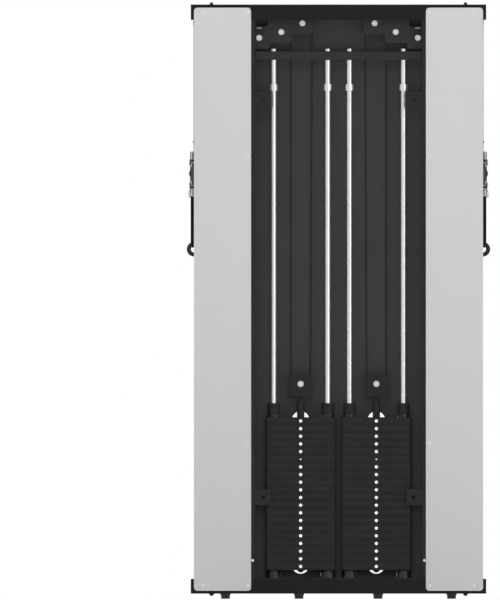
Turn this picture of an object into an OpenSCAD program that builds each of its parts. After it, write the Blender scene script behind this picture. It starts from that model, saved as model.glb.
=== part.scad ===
// Wall pulley weight stack: two selector stacks, each lifted by a cable from a sliding swivel carriage.
// Millimetres. +Z is up, +Y is the user side, -Y is the wall side, and the right-hand side is +X.

/* [Frame] */
// Width of the frame over the ends of its beams
frame_w = 1034; // [1020:1:1150]
// Height from the floor to the top of the frame
frame_h = 2080; // [2060:1:2300]
// Depth of the frame behind the rail plane
frame_back = 53; // [50:1:70]
// Depth of the frame in front of the rail plane
frame_front = 50; // [48:1:70]
// Sheet thickness of the beams and inner walls
sheet_t = 3; // [2:0.5:4]
// Height of the top beam
top_beam_h = 54; // [50:1:62]
// Height of the bottom beam
bottom_beam_h = 52; // [46:1:64]
// Half width of the open weight bay
bay_half_w = 292; // [286:1:300]
// Width of the inner wall flanges
wall_flange = 33; // [30:1:40]
// Height of the crossbar that holds the guide rods
crossbar_h = 30; // [25:1:40]
// Depth of the crossbar
crossbar_d = 40; // [34:1:60]
// Drop from the top of the frame to the crossbar
crossbar_drop = 164; // [160:1:180]

/* [Feet and wall brackets] */
// Height of a levelling foot
foot_h = 18; // [14:1:30]
// Radius of a levelling foot
foot_r = 15.5; // [14:0.5:20]
// Radius of the stud on a levelling foot
foot_stud_r = 6; // [4:0.5:8]
// Width of a wall bracket
bracket_w = 55; // [45:1:70]
// Thickness of a wall bracket
bracket_t = 4; // [3:0.5:6]
// Radius of a wall bolt hole
wall_hole_r = 6.5; // [4:0.5:8]
// Distance between the two wall bolts in a row
wall_bolt_span_x = 527; // [515:1:535]
// Height of the lower wall bolts
wall_bolt_low_z = 355; // [300:1:500]
// Distance between the lower and upper wall bolts
wall_bolt_span_z = 1391; // [1200:1:1420]

/* [Panels] */
// Skin thickness of the panels and the cover
panel_skin = 2; // [1.5:0.5:3]
// Depth of the panels and the cover
panel_depth = 8; // [6:0.5:12]
// Corner radius of the panels and the cover
panel_corner_r = 12; // [6:1:20]
// Gap from the frame end to the rear panel
panel_end_gap = 11; // [6:1:20]
// Inner wall edge left bare beside the rear panel
panel_reveal = 14; // [12:1:17]
// Half width of the front cover
cover_half_w = 385; // [380:1:390]
// Width of a selector slot in the cover
slot_w = 61.4; // [50:0.2:80]
// Radius of a panel screw head
screw_head_r = 5; // [4:0.5:6]
// Radius of a panel screw shank
screw_shank_r = 2.5; // [1.5:0.5:3]
// Radius of a frame bolt shank
frame_bolt_r = 4; // [3:0.5:4.5]

/* [Weights] */
// Distance from the centre line to a stack
stack_x = 132.5; // [131:0.5:135]
// Width of a weight plate
plate_w = 244; // [230:1:250]
// Depth of a weight plate
plate_d = 66; // [60:1:70]
// Thickness of a weight plate
plate_t = 26.5; // [20:0.5:28]
// Gap left between two plates
plate_gap = 0.3; // [0.2:0.1:1]
// Plan chamfer at the corners of a plate
plate_corner = 5; // [4:1:20]
// Number of plates in a stack
plate_n = 20; // [16:1:21]
// Number of plates under the selector pin
resting_n = 14; // [1:1:15]
// Distance from a stack centre to its guide rods
rod_offset = 94.5; // [90:0.5:96]
// Radius of a guide rod
rod_r = 9.5; // [7:0.5:10]
// Radius of a rubber bumper
bumper_r = 26; // [18:1:30]
// Height of a rubber bumper
bumper_h = 27; // [20:1:34]
// Thickness of the plates under the bumpers
bumper_plate_t = 3; // [2:0.5:5]
// Half width of the plates under the bumpers
bumper_plate_half_w = 51; // [40:1:60]
// Radius of a guide bushing
bushing_r = 21; // [15:1:24]
// Height of a guide bushing
bushing_h = 48.9; // [30:0.1:60]
// Radius of the selector stem
stem_r = 13; // [12:0.5:16]
// Radius of the selector pin
selector_pin_r = 4.75; // [3.5:0.25:5]
// Radius of the selector pin's knob
selector_knob_r = 13; // [10:0.5:16]
// Length of the selector pin's knob
selector_knob_l = 12; // [8:1:13]

/* [Cables and sheaves] */
// Diameter of the cable
cable_d = 5; // [4:0.5:6]
// Cable radius on the frame sheaves
sheave_pitch_r = 34; // [32:0.5:34.5]
// Rim height above the cable centre
sheave_lip = 4; // [3:0.5:4]
// Width of a frame sheave
sheave_w = 19; // [14:0.5:20]
// Radius of a frame sheave axle
axle_r = 6; // [4:0.5:7]
// Width across the flats of an axle bolt head
axle_head_af = 19; // [16:1:24]
// Thickness of the pulley bracket plates
cheek_t = 3; // [2:0.5:5]
// Gap between a sheave and its bracket plate
cheek_gap = 1; // [0.5:0.1:2]
// Drop from the top of the frame to the top inner sheave
top_inner_drop = 65.4; // [64:0.2:72]
// Drop from the top of the frame to the top middle sheave
top_middle_drop = 96.2; // [94:0.2:104]
// Drop from the top of the frame to the top outer sheave
top_outer_drop = 116.5; // [114:0.5:122]
// Distance from the bay wall to the top outer sheave
top_outer_inset = 14.1; // [8:0.1:22]
// Lean of the inner stack cable
inner_lean = 6; // [4:0.5:8]
// Height of the bottom sheave above the bottom beam
bottom_sheave_rise = 75; // [60:1:90]

/* [Carriage] */
// Distance from the frame end to the rail centre
rail_inset = 72.5; // [72:0.5:76]
// Width of a carriage rail
rail_w = 80; // [76:1:82]
// Depth of a carriage rail
rail_d = 40; // [36:1:50]
// Wall of a carriage rail
rail_t = 3; // [2:0.5:5]
// Height of the carriage sleeve's lower edge
carriage_z = 1413; // [1200:1:1500]
// Height of the carriage sleeve
carriage_h = 190; // [180:1:220]
// Clearance between the glides and the rail
glide_clear = 0.3; // [0.2:0.1:0.5]
// Thickness of the side glides
glide_side_t = 2; // [1:0.5:4]
// Thickness of the front and rear glides
glide_face_t = 6.2; // [4:0.2:8]
// Side wall of the carriage sleeve
sleeve_side_t = 3; // [2:0.5:5]
// Front and rear wall of the carriage sleeve
sleeve_face_t = 4; // [3:0.5:6]
// Distance from the sleeve to the hinge axis
hinge_offset = 15.2; // [15.2:0.1:18]
// Radius of the hinge pin
hinge_pin_r = 5; // [4:0.5:6]
// Radius of the hinge ears
hinge_ear_r = 12; // [10:0.5:12]
// Spacing of the height adjustment holes
adjust_pitch = 60; // [40:5:80]
// Radius of the pop pin
pop_pin_r = 6; // [4:0.5:8]
// Travel of the pop pin
pop_pin_travel = 12; // [8:1:14]
// Radius of the pop pin's pull flange
pop_flange_r = 22.5; // [18:0.5:26]

/* [Swivel] */
// Cable radius on the swivel sheaves
swivel_pitch_r = 38.5; // [36:0.5:38.5]
// Width of a swivel sheave
swivel_sheave_w = 20; // [16:0.5:20]
// Radius of a swivel sheave axle
swivel_axle_r = 5; // [4:0.5:6]
// Distance between the two swivel sheaves
swivel_spacing = 80; // [80:0.5:84]
// Distance from the hinge axis to the swivel sheaves
swivel_reach = 62; // [60:0.5:70]
// Radius of the discs on the swivel plates
swivel_disc_r = 37.5; // [34:0.5:38]

/* [Handle] */
// Largest radius of the cable stop
stop_r = 18.5; // [14:0.5:18.5]
// Length of the cable stop
stop_l = 55; // [52:1:80]
// Wire radius of the carabiner
carabiner_wire_r = 4; // [3:0.5:4]
// Radius of the carabiner's wide end
carabiner_top_r = 18.25; // [16:0.25:22]
// Radius of the carabiner's narrow end
carabiner_bottom_r = 8; // [7:0.5:10]
// Distance between the two ends' centres
carabiner_l = 51.5; // [45:0.5:65]
// Wire radius of the D ring
d_ring_wire_r = 2.5; // [2:0.25:3]
// Radius of the D ring
d_ring_r = 18.5; // [15:0.5:19]
// Width of the strap
strap_w = 25; // [20:1:26]
// Thickness of the strap
strap_t = 1.5; // [1:0.25:2]
// Height of the strap's triangle
strap_drop = 107.5; // [90:0.5:140]
// Length of the sewn neck of the strap
strap_neck_l = 50.5; // [40:0.5:70]
// Half length of the grip
grip_half_l = 69.5; // [60:0.5:75]
// Radius of the grip's end flanges
grip_flange_r = 26; // [22:0.5:26]
// Thickness of the grip's end flanges
grip_flange_t = 3.5; // [2:0.5:6]
// Radius of the grip's middle
grip_r = 18.5; // [15:0.5:19]
// Radius of the grip's bore
grip_bore_r = 11; // [10.8:0.1:13]

/* [Hidden] */
$fn = 64;

// Clearances and cutting allowance
fit = 0.05;
screw_fit = 0.1;
bolt_fit = 0.2;
rod_fit = 0.3;
cut = 1;
// Straight wire that runs on inside an arc, and how much thinner it is
lap = 0.3;
lap_step = 0.02;

// Colours
frame_colour = [0.15, 0.15, 0.16];
plate_colour = [0.18, 0.18, 0.19];
panel_colour = [0.78, 0.79, 0.79];
rail_colour = [0.7, 0.67, 0.66];
chrome_colour = [0.86, 0.87, 0.88];
steel_colour = [0.8, 0.8, 0.8];
sheave_colour = [0.68, 0.69, 0.7];
cable_colour = [0.08, 0.08, 0.08];
rubber_colour = [0.1, 0.1, 0.1];

// Frame levels and places
half_w = frame_w / 2;
beam_top_z = foot_h + bottom_beam_h;
top_beam_z = frame_h - top_beam_h;
channel_top_z = frame_h - sheet_t;
wall_edge_x = bay_half_w + wall_flange;
crossbar_top_z = frame_h - crossbar_drop;
crossbar_z = crossbar_top_z - crossbar_h;
foot_xs = [138.2, 395.6];
foot_ys = [-33.3, 30.5];
foot_shoulder_h = 8;
foot_shoulder_r = foot_r + 3.5;
foot_stud_l = 12;

// Rail and sleeve places
rail_x = half_w - rail_inset;
rail_in_x = rail_x - rail_w / 2;
rail_out_x = rail_x + rail_w / 2;
rail_plate_t = 4;
sleeve_gap_x = glide_clear + glide_side_t;
sleeve_gap_y = glide_clear + glide_face_t;
sleeve_in_x = rail_in_x - sleeve_gap_x - sleeve_side_t;
sleeve_out_x = rail_out_x + sleeve_gap_x + sleeve_side_t;
sleeve_y = rail_d / 2 + sleeve_gap_y + sleeve_face_t;
carriage_top_z = carriage_z + carriage_h;
cable_x = sleeve_out_x + hinge_offset;
cable_r = cable_d / 2;
front_plate_t = 3;
front_plate_rise = 17;
pop_pin_z = carriage_top_z - 10;
pop_housing_r = 2 * pop_pin_r;
pop_housing_l = 41.5;
pop_body_r = 10;
pop_body_l = 25;
pop_flange_l = 8.5;
pop_face_y = sleeve_y + front_plate_t + pop_housing_l;
pop_lip = 1;
pop_counter_d = pop_pin_travel + pop_lip;
pop_tip_y = rail_d / 2 + 2;
adjust_count = floor((crossbar_z - 250 - 220) / adjust_pitch);
adjust_above = 5;

// Sheave places, as [x, z]
head_c = [cable_x - sheave_pitch_r, frame_h - top_inner_drop];
inner_c = [stack_x - inner_lean, frame_h - top_inner_drop];
middle_c = [stack_x + 2 * sheave_pitch_r, frame_h - top_middle_drop];
outer_c = [bay_half_w - top_outer_inset, frame_h - top_outer_drop];
column_x = outer_c[0] + sheave_pitch_r;
bottom_c = [column_x + sheave_pitch_r, beam_top_z + bottom_sheave_rise];
return_x = bottom_c[0] + sheave_pitch_r;
sheave_rim_r = sheave_pitch_r + sheave_lip;
groove_clear = 0.3;
groove_r = cable_r + groove_clear;
groove_bottom_r = sheave_pitch_r - groove_r;
cheek_y = sheave_w / 2 + cheek_gap;
cheek_out_y = cheek_y + cheek_t;
axle_head_l = 5.5;
axle_shank_l = 3;
run_z = inner_c[1] + sheave_pitch_r;
shelf_half_w = 16;
shelf_c = [outer_c[0], -cheek_out_y - shelf_half_w];
shelf_z = outer_c[1] + sheave_rim_r - 8;
shelf_t = 3;
shelf_bolt_r = 4.5;
shelf_head_r = 13.5;
shelf_head_h = 9.6;
shelf_seat_d = 0.7;
bracket_round = 12;

// Stack levels
first_plate_z = beam_top_z + bumper_plate_t + bumper_h;
plate_pitch = plate_t + plate_gap;
stack_top_z = first_plate_z + plate_n * plate_pitch - plate_gap;
stem_hole_r = stem_r + 1;
rod_hole_r = rod_r + 1;
selector_hole_r = 6;
stem_cross_r = 5.5;
stem_neck_r = 5.5;
stem_bottom_z = first_plate_z - 8;
stem_top_z = stack_top_z + 55.3;
yoke_z = stem_top_z + 17;
yoke_t = 4;
yoke_r = sheave_rim_r + 2;
floating_c = [stack_x, yoke_z + yoke_t + 2 + sheave_rim_r];
yoke_arc_z = floating_c[1] + 3.5;
selector_z = first_plate_z + resting_n * plate_pitch + plate_t / 2;
selector_face_y = plate_d / 2 + 0.5;
selector_tip_y = plate_d / 2 + 1;
collar_r = rod_r + 5.5;
collar_h = 22;
collar_z = crossbar_z - 107;
rod_top_rise = 9;
rod_xs = [stack_x - rod_offset, stack_x + rod_offset];
slot_low_z = first_plate_z - 12;
slot_high_z = stack_top_z + 20.5;

// Swivel levels, as [y, z]
swivel_z = carriage_z + 74;
upper_c = [swivel_reach, swivel_z + swivel_spacing / 2];
lower_c = [swivel_reach, swivel_z - swivel_spacing / 2];
swivel_rim_r = swivel_pitch_r + 1;
swivel_cheek_x = swivel_sheave_w / 2 + 1.4;
pull_z = upper_c[1] - swivel_pitch_r;
knuckle_r = hinge_pin_r + 4;
knuckle_half_h = 39;
ear_gap_z = 41;
ear_t = 10;
washer_r = 8;
eye_ear_t = 6;
eye_hole_r = cable_r + 0.5;
eye_ear_r = eye_hole_r + 2;
cable_entry_z = carriage_top_z - eye_ear_t - 0.5;
rail_cable_z = cable_entry_z + 0.9;
lug_z = carriage_z + 7;
lug_t = 8;
ferrule_h = 12;
ferrule_r = 4.5;
cable_tip_gap = 0.3;

// Handle levels, as [y, z]
stop_y = swivel_reach + 18;
stop_end_y = stop_y + stop_l;
eye_wire_r = 2.2;
eye_r = carabiner_wire_r + 0.4 + eye_wire_r;
eye_tilt = 9.4;
eye_shank_l = 5.1;
eye_c = [stop_end_y + eye_shank_l + eye_r, pull_z];
carabiner_c = [eye_c[0] + carabiner_top_r - 0.2, pull_z + 3];
carabiner_low_c = [carabiner_c[0], carabiner_c[1] - carabiner_l];
carabiner_taper = asin((carabiner_top_r - carabiner_bottom_r) / carabiner_l);
d_ring_top_z = carabiner_low_c[1] - carabiner_bottom_r + carabiner_wire_r + 0.4 + d_ring_wire_r;
d_ring_z = d_ring_top_z - d_ring_r;
d_ring_bar_z = d_ring_z - 14.4;
neck_half_t = 3.5;
neck_top_z = d_ring_bar_z + 4.5;
neck_z = neck_top_z - strap_neck_l;
handle_y = carabiner_c[0];
shoulder_z = neck_z + 1 - strap_drop;
grip_z = shoulder_z - grip_flange_r - 3.9;
bore_strap_w = 16;
bore_strap_z = grip_z + sqrt(pow(grip_bore_r - 0.4, 2) - pow(bore_strap_w / 2, 2)) - strap_t / 2;
shoulder_y = grip_half_l + 2;
corner_y = grip_half_l + 8;

// Rail plane's place: the origin is the middle of the footprint
rear_reach = frame_back + panel_depth + 2.8;
front_reach = handle_y + corner_y + strap_t;
plane_y = (rear_reach - front_reach) / 2;

// Screw places, as [x, z]
panel_in_x = bay_half_w + panel_reveal;
panel_out_x = half_w - panel_end_gap;
panel_low_z = foot_h + 10;
panel_high_z = frame_h - 11;
rear_screw_low_z = foot_h + 27;
rear_screw_high_z = frame_h - 27;
rear_screw_step = (rear_screw_high_z - rear_screw_low_z) / 4;
rear_inner_screw_x = panel_in_x + 12;
rear_outer_screw_x = panel_out_x - 33;
rear_screws = concat(
  [for (row = [0:4]) [rear_inner_screw_x, rear_screw_low_z + row * rear_screw_step]],
  [[rear_outer_screw_x, rear_screw_low_z], [rear_outer_screw_x, rear_screw_high_z]]);
flange_screw = [bay_half_w + 8.7, foot_h + 116.4];
cover_low_z = foot_h + 12;
front_screw_low_z = foot_h + 27;
front_screw_high_z = frame_h - 22;
front_screw_step = (front_screw_high_z - front_screw_low_z) / 6;
cover_inner_screw_x = bay_half_w + 17;
front_screws = concat(
  [for (x = [60, cover_inner_screw_x, cover_half_w - 15], z = [front_screw_low_z, front_screw_high_z]) [x, z]],
  [for (row = [1, 3, 5]) [cover_inner_screw_x, front_screw_low_z + row * front_screw_step]]);
screw_head_l = 2.8;
screw_l = 8;
boss_r = screw_shank_r + 4.5;
frame_bolt_gap = 1;
frame_bolt_y = rail_d / 2 - rail_t - frame_bolt_r - frame_bolt_gap;
frame_bolt_head_r = 6.5;
frame_bolt_head_l = 8;
frame_nut_h = 7;
frame_washer_r = 9.5;
frame_washer_t = 2.2;
wall_bolt_x = wall_bolt_span_x / 2;
wall_bolt_zs = [wall_bolt_low_z, wall_bolt_low_z + wall_bolt_span_z];

function unit(v) = v / norm(v);
function turned(v) = [-v[1], v[0]];
function polar(c, r, a) = [c[0] + r * cos(a), c[1] + r * sin(a)];
// Angle at which a cable leaves two equal sheaves that it passes on their left
function left_tangent(a, b) = atan2(b[1] - a[1], b[0] - a[0]) + 90;
// Half thickness vector of a ribbon at point i of path p
function ribbon_side(p, i, t) =
  let (last = len(p) - 1,
       a = turned(unit(i > 0 ? p[i] - p[i - 1] : p[1] - p[0])),
       b = turned(unit(i < last ? p[i + 1] - p[i] : p[last] - p[last - 1])))
  (a + b) * (t / 2) / (1 + a * b);
function ribbon(p, t) = concat(
  [for (i = [0:len(p) - 1]) p[i] + ribbon_side(p, i, t)],
  [for (i = [len(p) - 1:-1:0]) p[i] - ribbon_side(p, i, t)]);

// Placing
module on_plane() translate([0, plane_y, 0]) children();
module mirrored() mirror([1, 0, 0]) children();
module both_sides() {
  children();
  mirrored() children();
}
module on_right() on_plane() children();
module on_left() mirrored() on_plane() children();

// Shapes
module box(low, high) translate(low) cube(high - low);
module bar_y(c, y0, y1, r, fn = 64)
  translate([c[0], y1, c[1]]) rotate([90, 0, 0]) cylinder(h = y1 - y0, r = r, $fn = fn);
module bar_x(c, x0, x1, r, fn = 64)
  translate([x0, c[0], c[1]]) rotate([0, 90, 0]) cylinder(h = x1 - x0, r = r, $fn = fn);
module bar_z(c, z0, z1, r) translate([c[0], c[1], z0]) cylinder(h = z1 - z0, r = r);
// A flat shape drawn in X and Z, from y0 to y1
module plate_xz(y0, y1) translate([0, y1, 0]) rotate([90, 0, 0]) linear_extrude(y1 - y0) children();
// A flat shape drawn in Y and Z, from x0 to x1
module plate_yz(x0, x1) translate([x0, 0, 0]) rotate([90, 0, 90]) linear_extrude(x1 - x0) children();
module area(low, high) translate(low) square(high - low);
module round_area(low, high, r) {
  area([low[0] + r, low[1]], [high[0] - r, high[1]]);
  area([low[0], low[1] + r], [high[0], high[1] - r]);
  for (x = [low[0] + r, high[0] - r], z = [low[1] + r, high[1] - r]) translate([x, z]) circle(r = r);
}
module obround(x, w, z0, z1) {
  area([x - w / 2, z0 + w / 2], [x + w / 2, z1 - w / 2]);
  for (z = [z0 + w / 2, z1 - w / 2]) translate([x, z]) circle(d = w);
}
// A round wire along an arc in the XZ plane
module arc_xz(c, r, a0, a1, wire_r)
  translate([c[0], 0, c[1]]) rotate([90, 0, 0]) rotate([0, 0, a0])
    rotate_extrude(angle = a1 - a0) translate([r, 0]) circle(r = wire_r);
// A round wire along an arc in the YZ plane at x
module arc_yz(x, c, r, a0, a1, wire_r)
  translate([x, c[0], c[1]]) rotate([90, 0, 90]) rotate([0, 0, a0])
    rotate_extrude(angle = a1 - a0) translate([r, 0]) circle(r = wire_r);
// A round wire between two points of the XZ plane; laps says which ends run on into an arc
module run_xz(a, b, wire_r, laps = [1, 1])
  translate([a[0], 0, a[1]]) rotate([0, atan2(b[0] - a[0], b[1] - a[1]), 0])
    translate([0, 0, -laps[0] * lap]) cylinder(h = norm(b - a) + (laps[0] + laps[1]) * lap, r = wire_r - lap_step);
// A round wire between two points of the YZ plane at x
module run_yz(x, a, b, wire_r, laps = [1, 1])
  translate([x, a[0], a[1]]) rotate([-atan2(b[0] - a[0], b[1] - a[1]), 0, 0])
    translate([0, 0, -laps[0] * lap]) cylinder(h = norm(b - a) + (laps[0] + laps[1]) * lap, r = wire_r - lap_step);

// A grooved wheel about the Z axis, centred on its middle
module wheel(pitch_r, rim_r, w, bore_r) {
  hub_r = bore_r + 7;
  recess = 3;
  mouth = w / 2 - 2.5;
  rotate_extrude() difference() {
    area([bore_r, -w / 2], [rim_r, w / 2]);
    translate([pitch_r, 0]) circle(r = groove_r);
    polygon([[pitch_r, -groove_r], [rim_r + cut, -mouth], [rim_r + cut, mouth], [pitch_r, groove_r]]);
    for (side = [-1, 1])
      translate([0, side * w / 2]) area([hub_r, -recess], [pitch_r - groove_r - 4.5, recess]);
  }
}
module frame_sheave(c)
  color(sheave_colour) translate([c[0], 0, c[1]]) rotate([90, 0, 0])
    wheel(sheave_pitch_r, sheave_rim_r, sheave_w, axle_r + fit);
module swivel_sheave(c)
  color(sheave_colour) translate([cable_x, c[0], c[1]]) rotate([0, 90, 0])
    wheel(swivel_pitch_r, swivel_rim_r, swivel_sheave_w, swivel_axle_r + fit);

// A hexagonal axle bolt and its nut through two bracket plates
module axle_bolt(c) {
  head_r = axle_head_af / 2 / cos(30);
  bar_y(c, -cheek_out_y - axle_head_l, -cheek_out_y, head_r, 6);
  bar_y(c, -cheek_out_y, cheek_out_y + axle_head_l + axle_shank_l, axle_r);
  bar_y(c, cheek_out_y, cheek_out_y + axle_head_l, head_r, 6);
}

// Screw shank holes along Y
module screw_holes(points, y0, y1, r) for (p = points) bar_y(p, y0, y1, r);
module pan_screw(p, face_y, way) {
  dome = screw_head_l - 1.2;
  translate([p[0], face_y, p[1]]) rotate([way * 90, 0, 0]) {
    cylinder(h = 1.2, r = screw_head_r);
    translate([0, 0, 1.2]) cylinder(h = dome, r1 = screw_head_r, r2 = screw_head_r - 1.8);
  }
  shank_y = face_y + way * (panel_depth + screw_l - 3);
  bar_y(p, min(face_y, shank_y), max(face_y, shank_y), screw_shank_r);
}

module top_beam() color(frame_colour) on_plane() difference() {
  box([-half_w, -frame_back, top_beam_z], [half_w, frame_front, frame_h]);
  box([-half_w + sheet_t, -frame_back + sheet_t, top_beam_z - cut],
      [half_w - sheet_t, frame_front - sheet_t, channel_top_z]);
  both_sides() {
    for (y = [-frame_bolt_y, frame_bolt_y])
      bar_z([rail_x, y], channel_top_z - cut, frame_h + cut, frame_bolt_r + bolt_fit);
    screw_holes([for (p = rear_screws) if (p[1] > top_beam_z) p],
      -frame_back - cut, -frame_back + sheet_t + cut, screw_shank_r + screw_fit);
    screw_holes([for (p = front_screws) if (p[1] > top_beam_z) p],
      frame_front - sheet_t - cut, frame_front + cut, screw_shank_r + screw_fit);
  }
}

module bottom_beam() color(frame_colour) on_plane() difference() {
  box([-half_w, -frame_back, foot_h], [half_w, frame_front, beam_top_z]);
  box([-half_w + sheet_t, -frame_back + sheet_t, foot_h + sheet_t],
      [half_w - sheet_t, frame_front - sheet_t, beam_top_z - sheet_t]);
  both_sides() {
    for (y = [-frame_bolt_y, frame_bolt_y])
      bar_z([rail_x, y], foot_h - cut, beam_top_z + cut, frame_bolt_r + bolt_fit);
    for (x = foot_xs, y = foot_ys)
      bar_z([x, y], foot_h - cut, foot_h + sheet_t + cut, foot_stud_r + screw_fit);
    screw_holes([for (p = rear_screws) if (p[1] < beam_top_z) p],
      -frame_back - cut, -frame_back + sheet_t + cut, screw_shank_r + screw_fit);
    screw_holes([for (p = front_screws) if (p[1] < beam_top_z) p],
      frame_front - sheet_t - cut, frame_front + cut, screw_shank_r + screw_fit);
  }
}

module wall_bracket(z) {
  low_x = wall_bolt_x - bracket_w / 2 + 1;
  difference() {
    box([low_x, -frame_back, z - bracket_w / 2], [bay_half_w, -frame_back + bracket_t, z + bracket_w / 2]);
    bar_y([wall_bolt_x, z], -frame_back - cut, -frame_back + bracket_t + cut, wall_hole_r);
  }
  box([bay_half_w - bracket_t, -frame_back + bracket_t, z - bracket_w / 2],
      [bay_half_w, -frame_back + bracket_t + 39, z + bracket_w / 2]);
}

module inner_walls() color(frame_colour) on_plane() both_sides() {
  slot_half = cheek_out_y + 0.5;
  difference() {
    union() {
      box([bay_half_w, -frame_back, beam_top_z], [bay_half_w + sheet_t, frame_front, top_beam_z]);
      box([bay_half_w, -frame_back + sheet_t, top_beam_z],
          [bay_half_w + sheet_t, frame_front - sheet_t, channel_top_z]);
      box([bay_half_w, -frame_back, beam_top_z], [wall_edge_x, -frame_back + sheet_t, top_beam_z]);
      box([bay_half_w, frame_front - sheet_t, beam_top_z], [wall_edge_x, frame_front, top_beam_z]);
    }
    box([bay_half_w - cut, -slot_half, crossbar_top_z + 4],
        [bay_half_w + sheet_t + cut, slot_half, run_z + cable_d + 8]);
    screw_holes(concat([flange_screw], [for (p = rear_screws) if (p[0] < wall_edge_x) p]),
      -frame_back - cut, -frame_back + sheet_t + cut, screw_shank_r + screw_fit);
    screw_holes([for (p = front_screws) if (p[0] < wall_edge_x && p[0] > bay_half_w) p],
      frame_front - sheet_t - cut, frame_front + cut, screw_shank_r + screw_fit);
  }
  for (z = wall_bolt_zs) wall_bracket(z);
}

// A shallow tray with a rim, drawn in X and Z, its open side towards y0
module tray(low, high, y0, y1, way) {
  face_y0 = way > 0 ? y1 - panel_skin : y0;
  rim = [panel_skin, panel_skin];
  plate_xz(face_y0, face_y0 + panel_skin) round_area(low, high, panel_corner_r);
  plate_xz(y0, y1) difference() {
    round_area(low, high, panel_corner_r);
    round_area(low + rim, high - rim, panel_corner_r - panel_skin);
  }
}

module front_cover() color(frame_colour) on_plane() {
  front_y = frame_front + panel_depth;
  difference() {
    union() {
      tray([-cover_half_w, cover_low_z], [cover_half_w, panel_high_z], frame_front, front_y, 1);
      both_sides() for (p = front_screws) bar_y(p, frame_front, front_y - panel_skin, boss_r);
      both_sides() plate_xz(frame_front, front_y)
        obround(stack_x, slot_w + 2 * panel_skin, slot_low_z - panel_skin, slot_high_z + panel_skin);
    }
    both_sides() plate_xz(frame_front - cut, front_y + cut) obround(stack_x, slot_w, slot_low_z, slot_high_z);
    both_sides() screw_holes(front_screws, frame_front - cut, front_y + cut, screw_shank_r + bolt_fit);
  }
}

module rear_panels() color(panel_colour) on_plane() both_sides() {
  rear_y = -frame_back - panel_depth;
  difference() {
    union() {
      tray([panel_in_x, panel_low_z], [panel_out_x, panel_high_z], rear_y, -frame_back, -1);
      for (p = rear_screws) bar_y(p, rear_y + panel_skin, -frame_back, boss_r);
    }
    screw_holes(rear_screws, rear_y - cut, -frame_back + cut, screw_shank_r + bolt_fit);
  }
}

module panel_screws() color(chrome_colour) on_plane() both_sides() {
  for (p = rear_screws) pan_screw(p, -frame_back - panel_depth, 1);
  for (p = front_screws) pan_screw(p, frame_front + panel_depth, -1);
  translate([0, panel_depth, 0]) pan_screw(flange_screw, -frame_back - panel_depth, 1);
}

module carriage_rails() color(rail_colour) on_plane() both_sides() difference() {
  box([rail_in_x, -rail_d / 2, beam_top_z], [rail_out_x, rail_d / 2, channel_top_z]);
  box([rail_in_x + rail_t, -rail_d / 2 + rail_t, beam_top_z + rail_plate_t],
      [rail_out_x - rail_t, rail_d / 2 - rail_t, channel_top_z - rail_plate_t]);
  // Window for the head sheave and the hole for the cable to it
  box([rail_out_x - rail_t - cut, -rail_d / 2 + rail_t + 2, head_c[1] - sheave_rim_r - 2.6],
      [rail_out_x + cut, rail_d / 2 - rail_t - 2, channel_top_z - rail_plate_t]);
  bar_x([0, run_z], rail_in_x - cut, rail_in_x + rail_t + cut, cable_r + 5.5);
  bar_y(head_c, -rail_d / 2 - cut, rail_d / 2 + cut, axle_r + fit);
  // Height adjustment holes
  for (k = [adjust_above - adjust_count:adjust_above])
    bar_y([rail_x, pop_pin_z + k * adjust_pitch], rail_d / 2 - rail_t - cut, rail_d / 2 + cut, pop_pin_r + 0.5);
  for (y = [-frame_bolt_y, frame_bolt_y])
    bar_z([rail_x, y], beam_top_z - cut, channel_top_z + cut, frame_bolt_r + bolt_fit);
}

module crossbar() color(frame_colour) on_plane() difference() {
  box([-bay_half_w, -crossbar_d / 2, crossbar_z], [bay_half_w, crossbar_d / 2, crossbar_top_z]);
  box([-bay_half_w + sheet_t, -crossbar_d / 2 + sheet_t, crossbar_z + sheet_t],
      [bay_half_w - sheet_t, crossbar_d / 2 - sheet_t, crossbar_top_z - sheet_t]);
  both_sides() {
    for (x = rod_xs) bar_z([x, 0], crossbar_z - cut, crossbar_top_z + cut, rod_r + rod_fit);
    for (x = [stack_x - inner_lean - sheave_pitch_r + 0.6, stack_x + sheave_pitch_r])
      bar_z([x, 0], crossbar_z - cut, crossbar_top_z + cut, cable_r + 4);
  }
}

module guide_rods() color(chrome_colour) on_plane() both_sides() for (x = rod_xs) {
  bar_z([x, 0], beam_top_z + bumper_plate_t, crossbar_top_z + rod_top_rise, rod_r);
  bar_z([x, 0], collar_z, collar_z + collar_h, collar_r);
}

module stack_bumpers() color(rubber_colour) on_plane() {
  plate_y = plate_d / 2 - 5;
  plate_z = beam_top_z + bumper_plate_t;
  inner_edge = rod_xs[0] + bumper_plate_half_w;
  box([-inner_edge, -plate_y, beam_top_z], [inner_edge, plate_y, plate_z]);
  both_sides() {
    box([rod_xs[1] - bumper_plate_half_w, -plate_y, beam_top_z],
        [rod_xs[1] + bumper_plate_half_w, plate_y, plate_z]);
    for (x = rod_xs) difference() {
      bar_z([x, 0], plate_z, plate_z + bumper_h, bumper_r);
      bar_z([x, 0], plate_z, plate_z + bumper_h + cut, rod_r + rod_fit);
    }
  }
}

module levelling_feet() color(rubber_colour) on_plane() both_sides() for (x = foot_xs, y = foot_ys) {
  bar_z([x, y], 0, foot_h - foot_shoulder_h, foot_r);
  translate([x, y, foot_h - foot_shoulder_h])
    cylinder(h = foot_shoulder_h, r1 = foot_r, r2 = foot_shoulder_r);
  bar_z([x, y], foot_h - foot_shoulder_h, foot_h + foot_stud_l, foot_stud_r);
}

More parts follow.
